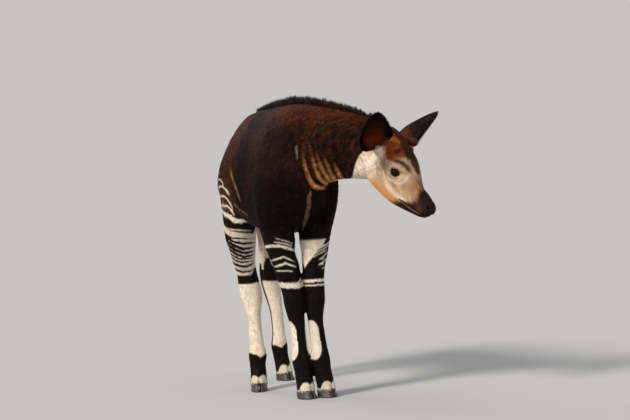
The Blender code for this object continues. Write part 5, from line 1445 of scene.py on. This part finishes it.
def make_tail_tuft(settings, material):
    """The tail's tuft: long fine locks that hang round its end and come together below it."""
    rng = np.random.default_rng(SEED + 2)
    count = int(900 * (1.0))
    end, before = np.array(TAIL_PATH[-1]), np.array(TAIL_PATH[-2])
    down = unit(end - before)
    rise = rng.uniform(-0.004, TUFT_RISE[0] + 0.02, count)[:, None]
    turn = rng.uniform(0, 2 * math.pi, count)
    out = np.column_stack([np.cos(turn), np.sin(turn), np.zeros(count)])
    roots = end - down * rise + out * TAIL_RADII[-1] * 0.55
    ways = unit(down + out * rng.uniform(0.03, 0.20, (count, 1)))
    bend = -out * rng.uniform(0.02, 0.16, (count, 1)) + rng.normal(0, 0.02, (count, 3))
    length = TUFT_LENGTH * rng.uniform(0.55, 1.08, count)
    width = rng.uniform(0.0016, 0.0034, count)
    wide = unit(np.cross(out, ways))
    made = strands(roots, ways, wide, bend, length, width, 0.5, 0.003, rings=6)
    tone = np.array(COAT_TONES["mane"]) * rng.uniform(0.6, 1.6, (count, 1))
    place = np.column_stack([turn / 7 + 0.02, 0.5 + rise[:, 0] * 4])
    return hair_piece("okapi_tail_tuft", made, tone, place, material)


def make_ear_fringe(settings, material):
    """Fine hair along the rims of the ears and inside their cups."""
    rng = np.random.default_rng(SEED + 3)
    count = int(1500 * (1.0))
    axes = head_axes()
    parts = []
    for name in EARS:
        rings = ear_rings(name, 60, 24, 0.0)[1:]
        share = rng.uniform(0.06, 0.985, count)
        row = (share * 59).astype(int)
        rim = rng.uniform(size=count) < 0.5
        column = np.where(rng.uniform(size=count) < 0.5, 0, 23)
        column = np.where(rim, column, rng.integers(26, 43, count))
        roots = rings[row, column]
        middle = ear_line(name, share)
        along = unit(ear_line(name, np.clip(share + 0.03, 0, 1)) - ear_line(name, np.clip(share - 0.03, 0, 1)))
        opening = np.array(EARS[name][2])
        outward = unit(roots - middle)
        out = np.where(rim[:, None], outward * 0.55 + opening * 0.15, opening * 0.8 - outward * 0.25)
        ways = unit(along + out + rng.normal(0, 0.12, (count, 3)))
        bend = along * rng.uniform(0.0, 0.4, (count, 1))
        length = np.where(rim, rng.uniform(0.005, 0.010, count), rng.uniform(0.008, 0.018, count)) * np.interp(share, (0, 0.2, 0.8, 1), (0.8, 1, 0.8, 0.5))
        wide = unit(np.cross(ways, opening + rng.normal(0, 0.2, (count, 3))))
        parts.append((roots, ways, wide, bend, length, rng.uniform(0.0008, 0.0016, count), share))
    roots, ways, wide, bend, length, width, share = (np.concatenate(column) for column in zip(*parts))
    made = strands(from_head(roots), ways @ axes, wide @ axes, bend @ axes, length, width, 0.5, 0.0015, rings=4)
    tone = np.array(COAT_TONES["ear"]) * rng.uniform(0.7, 1.8, (len(roots), 1))
    half = np.repeat((0.0, 0.5), count)
    place = np.column_stack([share * 0.96 + 0.02, half + 0.25 + 0.2 * rng.uniform(-1, 1, len(roots))])
    return hair_piece("okapi_ear_fringe", made, tone, place, material)


def make_lashes(settings, material):
    """Lashes along both lids."""
    rng = np.random.default_rng(SEED + 4)
    along, up, outward = eye_axes()
    centre = np.array(EYE_PLACE)
    parts = []
    for side in (-1, 1):
        turn = np.concatenate([rng.uniform(0.12, 0.90, 90), rng.uniform(1.2, 1.8, 34)]) * math.pi
        x = EYE_OPENING[0] * np.cos(turn)
        y = EYE_OPENING[1] * np.sign(np.sin(turn)) * np.abs(np.sin(turn)) ** ALMOND_POINT
        flat = np.outer(x, along) + np.outer(y, up)
        ball = EYE_RADIUS + LID_THICKNESS * 0.7
        height = np.sqrt(np.maximum(ball**2 - x**2 - y**2, 1e-8))
        roots = centre + flat + np.outer(height, outward)
        upper = np.where(turn < math.pi, 1.0, -0.8)[:, None]
        ways = unit(outward * 0.8 + up * upper * 0.45 + unit(flat) * 0.55 + rng.normal(0, 0.08, (len(turn), 3)))
        bend = up * upper * rng.uniform(0.1, 0.45, (len(turn), 1))
        length = np.where(turn < math.pi, rng.uniform(0.006, 0.011, len(turn)), rng.uniform(0.003, 0.005, len(turn)))
        wide = unit(np.cross(ways, outward))
        nose = np.array([rng.uniform(0.27, 0.33, 26), rng.uniform(-0.085, -0.02, 26), np.full(26, 0.0)]).T
        flip = np.array([1.0, 1.0, side])
        parts.append((roots * flip, ways * flip, wide * flip, bend * flip, length, rng.uniform(0.0006, 0.0009, len(turn))))
    roots, ways, wide, bend, length, width = (np.concatenate(column) for column in zip(*parts))
    axes = head_axes()
    made = strands(from_head(roots), ways @ axes, wide @ axes, bend @ axes, length, width, 0.6, 0.001, rings=5)
    tone = np.tile(np.array(COAT_TONES["black"]), (len(roots), 1))
    place = rng.uniform(0.1, 0.9, (len(roots), 2))
    return hair_piece("okapi_lashes", made, tone, place, material, tips=0.8)


def make_eyes(settings):
    """Each eye is a ball whose front swells into a dome; iris and pupil are painted on its points."""
    along, up, outward = eye_axes()
    material = bpy.data.materials.new("wet eye")
    material.use_nodes = True
    shader = material.node_tree.nodes["Principled BSDF"]
    shader.inputs["Roughness"].default_value = 0.04
    shader.inputs["Specular IOR Level"].default_value = 0.14
    colour = material.node_tree.nodes.new("ShaderNodeAttribute")
    colour.attribute_name = "eye"
    material.node_tree.links.new(colour.outputs["Color"], shader.inputs["Base Color"])
    for side, name in ((-1, "right"), (1, "left")):
        polar = np.linspace(0.004, 0.996, 90) * math.pi
        turn = np.arange(96) * 2 * math.pi / 96
        swell = 1 + 0.045 * smooth_step((0.62 - polar) / 0.35)
        reach = np.sin(polar) * EYE_RADIUS * swell
        depth = np.cos(polar) * EYE_RADIUS * swell
        flat = np.stack([np.outer(reach, np.cos(turn)), np.outer(reach, np.sin(turn)), np.outer(depth, np.ones(96))], axis=-1)
        place = flat.reshape(-1, 3)
        local = np.array(EYE_PLACE) + place @ np.array([along, up, outward])
        local[:, 2] *= side
        eye = add_object("okapi_eye_" + name, from_head(local), ring_faces(90, 96))
        front = place[:, 2] > 0
        gap = np.hypot(place[:, 0], place[:, 1])
        white = np.array((0.030, 0.014, 0.010))
        tone = mix(np.broadcast_to(white, place.shape), settings.iris[:], smooth_step((0.0122 - gap) / 0.0012) * front)
        ring = np.exp(-(((gap - 0.0112) / 0.0012) ** 2)) * front
        tone = mix(tone, (0.004, 0.003, 0.003), ring)
        pupil = np.hypot(place[:, 0] / 0.0068, place[:, 1] / 0.0042)
        tone = mix(tone, (0.001, 0.001, 0.0015), smooth_step((1.1 - pupil) / 0.2) * front)
        paint(eye, "eye", tone)
        dress(eye, material, nodes=("eye_" + name,))


def horn_material(settings):
    """Hoof horn: dark blue-grey, with level growth rings and upright streaks."""
    material = bpy.data.materials.new("hoof horn")
    material.use_nodes = True
    tree = material.node_tree
    shader = tree.nodes["Principled BSDF"]
    shader.inputs["Roughness"].default_value = 0.42
    place = tree.nodes.new("ShaderNodeTexCoord")
    stretch = tree.nodes.new("ShaderNodeMapping")
    stretch.inputs["Scale"].default_value = (260.0, 260.0, 22.0)
    streak = tree.nodes.new("ShaderNodeTexNoise")
    streak.inputs["Scale"].default_value = 1.0
    streak.inputs["Detail"].default_value = 4.0
    tree.links.new(place.outputs["Object"], stretch.inputs["Vector"])
    tree.links.new(stretch.outputs["Vector"], streak.inputs["Vector"])
    ramp = tree.nodes.new("ShaderNodeValToRGB")
    ramp.color_ramp.elements[0].position = 0.30
    ramp.color_ramp.elements[0].color = (0.009, 0.010, 0.014, 1.0)
    ramp.color_ramp.elements[1].position = 0.72
    ramp.color_ramp.elements[1].color = (0.052, 0.048, 0.047, 1.0)
    tree.links.new(streak.outputs["Fac"], ramp.inputs["Fac"])
    tree.links.new(ramp.outputs["Color"], shader.inputs["Base Color"])
    rings = tree.nodes.new("ShaderNodeTexWave")
    rings.bands_direction = "Z"
    rings.inputs["Scale"].default_value = 95.0
    rings.inputs["Distortion"].default_value = 2.5
    tree.links.new(place.outputs["Object"], rings.inputs["Vector"])
    bump = tree.nodes.new("ShaderNodeBump")
    bump.inputs["Strength"].default_value = 0.35
    bump.inputs["Distance"].default_value = 0.0012
    tree.links.new(rings.outputs["Fac"], bump.inputs["Height"])
    tree.links.new(bump.outputs["Normal"], shader.inputs["Normal"])
    return material


def make_hooves(settings):
    """Two claws a foot: a flat sole, a straight inner wall, a round outer wall that slopes back to the coronet."""
    material = horn_material(settings)
    ends = np.linspace(0, math.pi, 33)
    a = -0.034 + 0.084 * (1 - np.cos(ends)) / 2
    b = 0.0315 * np.sin(ends) ** 0.8
    inner = 0.0014 + np.maximum(0.0, a - 0.030) * 0.16
    steps = np.array([(0.0, 0.955, 0.0), (0.0012, 0.985, 0.0), (0.003, 1.0, -0.0005), (0.010, 0.985, -0.003),
                      (0.018, 0.945, -0.0052), (HOOF_HEIGHT, 0.90, -0.0075), (HOOF_HEIGHT + 0.004, 0.80, -0.0085)])
    heights = faired(np.column_stack([steps[:, 0], steps[:, 0] * 0, steps[:, 0] * 0, steps[:, 1:]]), 22)[:, [0, 3, 4]]
    heights[:, 1] += 0.006 * np.sin(heights[:, 0] * 2 * math.pi / 0.0052) * (heights[:, 0] > 0.003) * 0.6
    for name, (rows, turn) in LEGS.items():
        ahead, left = heading(turn), heading(turn + 90.0)
        ground = np.array([rows[-1][1], rows[-1][2], 0.0])
        for side, word in ((-1, "right"), (1, "left")):
            height, shrink, slide = (column[:, None] for column in heights.T)
            across = side * (inner + b * shrink * (1 - 0.25 * np.maximum(0.0, a) / 0.05))
            forward = a * shrink + slide
            points = ground + forward[..., None] * ahead + across[..., None] * left + height[..., None] * np.array([0, 0, 1.0])
            claw = add_object(f"okapi_hoof_{name}_{word}", points.reshape(-1, 3), ring_faces(*forward.shape))
            dress(claw, material, nodes=(f"hoof_{name}_{word}_claw",))


def make_stage(settings):
    """A wide, flat, pale floor, a soft key light, a fill, a rim light and the camera."""
    reach = np.array([0.0, 1.0, 3.0, 8.0, 25.0, 160.0])
    turn = np.arange(48) * 2 * math.pi / 48
    rings = np.stack([np.outer(reach, np.cos(turn)), np.outer(reach, np.sin(turn)), np.zeros((6, 48))], axis=-1)
    r, k = np.meshgrid(np.arange(1, 5), np.arange(48), indexing="ij")
    first, second = (r * 48 + k).ravel(), (r * 48 + (k + 1) % 48).ravel()
    faces = np.stack([first, first + 48, second + 48, second], axis=1).tolist() + [list(range(48, 96))]
    mesh = bpy.data.meshes.new("floor")
    mesh.from_pydata(rings.reshape(-1, 3).tolist(), [], faces)
    floor = bpy.data.objects.new("floor", mesh)
    bpy.context.scene.collection.objects.link(floor)
    material = bpy.data.materials.new("pale floor")
    material.use_nodes = True
    shader = material.node_tree.nodes["Principled BSDF"]
    shader.inputs["Roughness"].default_value = 1.0
    shader.inputs["Specular IOR Level"].default_value = 0.0
    sky = np.array(SKY_COLOUR) * settings.sky_strength
    sun = sum(np.array(tint) * power * math.sin(math.radians(rise)) for _, _, rise, _, power, tint in LIGHTS)
    even = sky / (sun * settings.light / math.pi + sky)
    place = material.node_tree.nodes.new("ShaderNodeTexCoord")
    grain = material.node_tree.nodes.new("ShaderNodeTexNoise")
    grain.inputs["Scale"].default_value = 90.0
    ramp = material.node_tree.nodes.new("ShaderNodeValToRGB")
    for element, position, share in zip(ramp.color_ramp.elements, (0.3, 0.7), (0.985, 1.015)):
        element.position = position
        element.color = (*np.clip(even * share, 0, 1), 1.0)
    material.node_tree.links.new(place.outputs["Object"], grain.inputs["Vector"])
    material.node_tree.links.new(grain.outputs["Fac"], ramp.inputs["Fac"])
    material.node_tree.links.new(ramp.outputs["Color"], shader.inputs["Base Color"])
    mesh.materials.append(material)

    world = bpy.data.worlds.new("studio")
    world.use_nodes = True
    world.node_tree.nodes["Background"].inputs["Color"].default_value = (*SKY_COLOUR, 1.0)
    world.node_tree.nodes["Background"].inputs["Strength"].default_value = settings.sky_strength
    bpy.context.scene.world = world
    for name, turn, rise, spread, power, colour in LIGHTS:
        light = bpy.data.lights.new(name, "SUN")
        light.energy = power * settings.light
        light.angle = math.radians(spread)
        light.color = colour
        lamp = bpy.data.objects.new(name, light)
        lamp.rotation_euler = (math.radians(90.0 - rise), 0.0, math.radians(turn))
        lamp.location = np.array([math.sin(math.radians(turn)), -math.cos(math.radians(turn)), 1.0]) * 6.0
        bpy.context.scene.collection.objects.link(lamp)
    bpy.context.scene.view_settings.view_transform = "Standard"

    camera = bpy.data.cameras.new("camera")
    camera.lens = CAMERA_LENS
    camera.sensor_width = 36.0
    camera.clip_end = 1000.0
    eye = bpy.data.objects.new("camera", camera)
    turn, tilt, roll = (math.radians(v) for v in (CAMERA_AZIMUTH, CAMERA_PITCH, CAMERA_ROLL))
    right = np.array([math.cos(turn), math.sin(turn), 0.0])
    ahead = np.array([-math.sin(turn), math.cos(turn), 0.0])
    up = np.array([0.0, 0.0, 1.0])
    look = ahead * math.cos(tilt) - up * math.sin(tilt)
    lift = up * math.cos(tilt) + ahead * math.sin(tilt)
    across = right * math.cos(roll) - lift * math.sin(roll)
    rise = right * math.sin(roll) + lift * math.cos(roll)
    eye.rotation_euler = Matrix(np.stack([across, rise, -look], axis=1).tolist()).to_euler()
    eye.location = np.array(CAMERA_PLACE) + np.array(ORIGIN_SHIFT)
    bpy.context.scene.collection.objects.link(eye)
    bpy.context.scene.camera = eye


class OkapiCoat(bpy.types.PropertyGroup):
    coat_depth: bpy.props.FloatProperty(name="Coat depth", description="How high tufts stand, as a share of the usual", default=1.0, min=0.2, max=2.0)
    coat_density: bpy.props.FloatProperty(name="Coat density", description="Number of tufts, as a share of the usual", default=1.0, min=0.1, max=1.05)
    hair_length: bpy.props.FloatProperty(name="Hair length", description="Length of the tufts, as a share of the usual", default=1.0, min=0.5, max=1.5)
    mane_locks: bpy.props.IntProperty(name="Mane locks", description="Fine locks in the mane", default=5200, min=500, max=7500)
    roughness: bpy.props.FloatProperty(name="Roughness", description="Roughness of the hair", default=0.52, min=0.0, max=1.0, subtype="FACTOR")
    gloss: bpy.props.FloatProperty(name="Gloss", description="Strength of the hair's reflections", default=0.07, min=0.0, max=1.0, subtype="FACTOR")
    sheen: bpy.props.FloatProperty(name="Sheen", description="Soft sheen of the hair", default=0.0, min=0.0, max=1.0, subtype="FACTOR")
    iris: bpy.props.FloatVectorProperty(name="Iris", description="Colour of the iris", default=(0.007, 0.003, 0.002), size=3, min=0.0, max=1.0, subtype="COLOR")


class OkapiStage(bpy.types.PropertyGroup):
    light: bpy.props.FloatProperty(name="Lights", description="Strength of all lights, as a share of the usual", default=1.0, min=0.0)
    sky_strength: bpy.props.FloatProperty(name="Sky", description="Strength of the even light all round", default=0.57, min=0.0)


class OKAPI_OT_stage(bpy.types.Operator):
    """Make the floor, the lights and the camera"""
    bl_idname = "okapi.stage"
    bl_label = "Stage"

    def execute(self, context):
        make_stage(context.scene.okapi_stage)
        return {"FINISHED"}


class OKAPI_OT_skin(bpy.types.Operator):
    """Make the skin of body, head, ears, legs and tail"""
    bl_idname = "okapi.skin"
    bl_label = "Skin"

    def execute(self, context):
        settings = context.scene.okapi_coat
        skin = make_skin(settings)
        dress(skin, coat_material("skin under the coat", settings), nodes=FLESH_NODES)
        return {"FINISHED"}


class OKAPI_OT_coat(bpy.types.Operator):
    """Make the short coat over the skin"""
    bl_idname = "okapi.coat"
    bl_label = "Coat"

    def execute(self, context):
        make_coat(context.scene.okapi_coat, bpy.data.objects["okapi_skin"])
        return {"FINISHED"}


class OKAPI_OT_hair(bpy.types.Operator):
    """Make mane, tail tuft, ear fringe and lashes"""
    bl_idname = "okapi.hair"
    bl_label = "Mane and other long hair"

    def execute(self, context):
        settings = context.scene.okapi_coat
        material = coat_material("long hair", settings, strength=0.1)
        make_mane(settings, material)
        make_tail_tuft(settings, material)
        make_ear_fringe(settings, material)
        make_lashes(settings, material)
        return {"FINISHED"}


class OKAPI_OT_eyes(bpy.types.Operator):
    """Make both eyes"""
    bl_idname = "okapi.eyes"
    bl_label = "Eyes"

    def execute(self, context):
        make_eyes(context.scene.okapi_coat)
        return {"FINISHED"}


class OKAPI_OT_hooves(bpy.types.Operator):
    """Make the eight claws of the hooves"""
    bl_idname = "okapi.hooves"
    bl_label = "Hooves"

    def execute(self, context):
        make_hooves(context.scene.okapi_coat)
        return {"FINISHED"}


class OKAPI_PT_panel(bpy.types.Panel):
    """Okapi calf, piece by piece"""
    bl_idname = "OKAPI_PT_panel"
    bl_label = "Okapi Calf"
    bl_space_type = "VIEW_3D"
    bl_region_type = "UI"
    bl_category = "Okapi"

    def draw(self, context):
        for settings in (context.scene.okapi_coat, context.scene.okapi_stage):
            box = self.layout.box()
            for name in settings.__annotations__:
                box.prop(settings, name)
        for operator in OPERATORS:
            self.layout.operator(operator.bl_idname)


FLESH_NODES = ("torso", "neck", "head", "ear_right", "ear_left", "leg_front_right", "leg_front_left",
               "leg_hind_right", "leg_hind_left", "tail")
OPERATORS = (OKAPI_OT_stage, OKAPI_OT_skin, OKAPI_OT_coat, OKAPI_OT_hair, OKAPI_OT_eyes, OKAPI_OT_hooves)
CLASSES = (OkapiCoat, OkapiStage) + OPERATORS + (OKAPI_PT_panel,)


def register():
    for entry in CLASSES:
        bpy.utils.register_class(entry)
    bpy.types.Scene.okapi_coat = bpy.props.PointerProperty(type=OkapiCoat)
    bpy.types.Scene.okapi_stage = bpy.props.PointerProperty(type=OkapiStage)


def unregister():
    del bpy.types.Scene.okapi_stage
    del bpy.types.Scene.okapi_coat
    for entry in reversed(CLASSES):
        bpy.utils.unregister_class(entry)


def main():
    register()
    for operator in OPERATORS:
        group, name = operator.bl_idname.split(".")
        getattr(getattr(bpy.ops, group), name)()


if __name__ == "__main__":
    main()
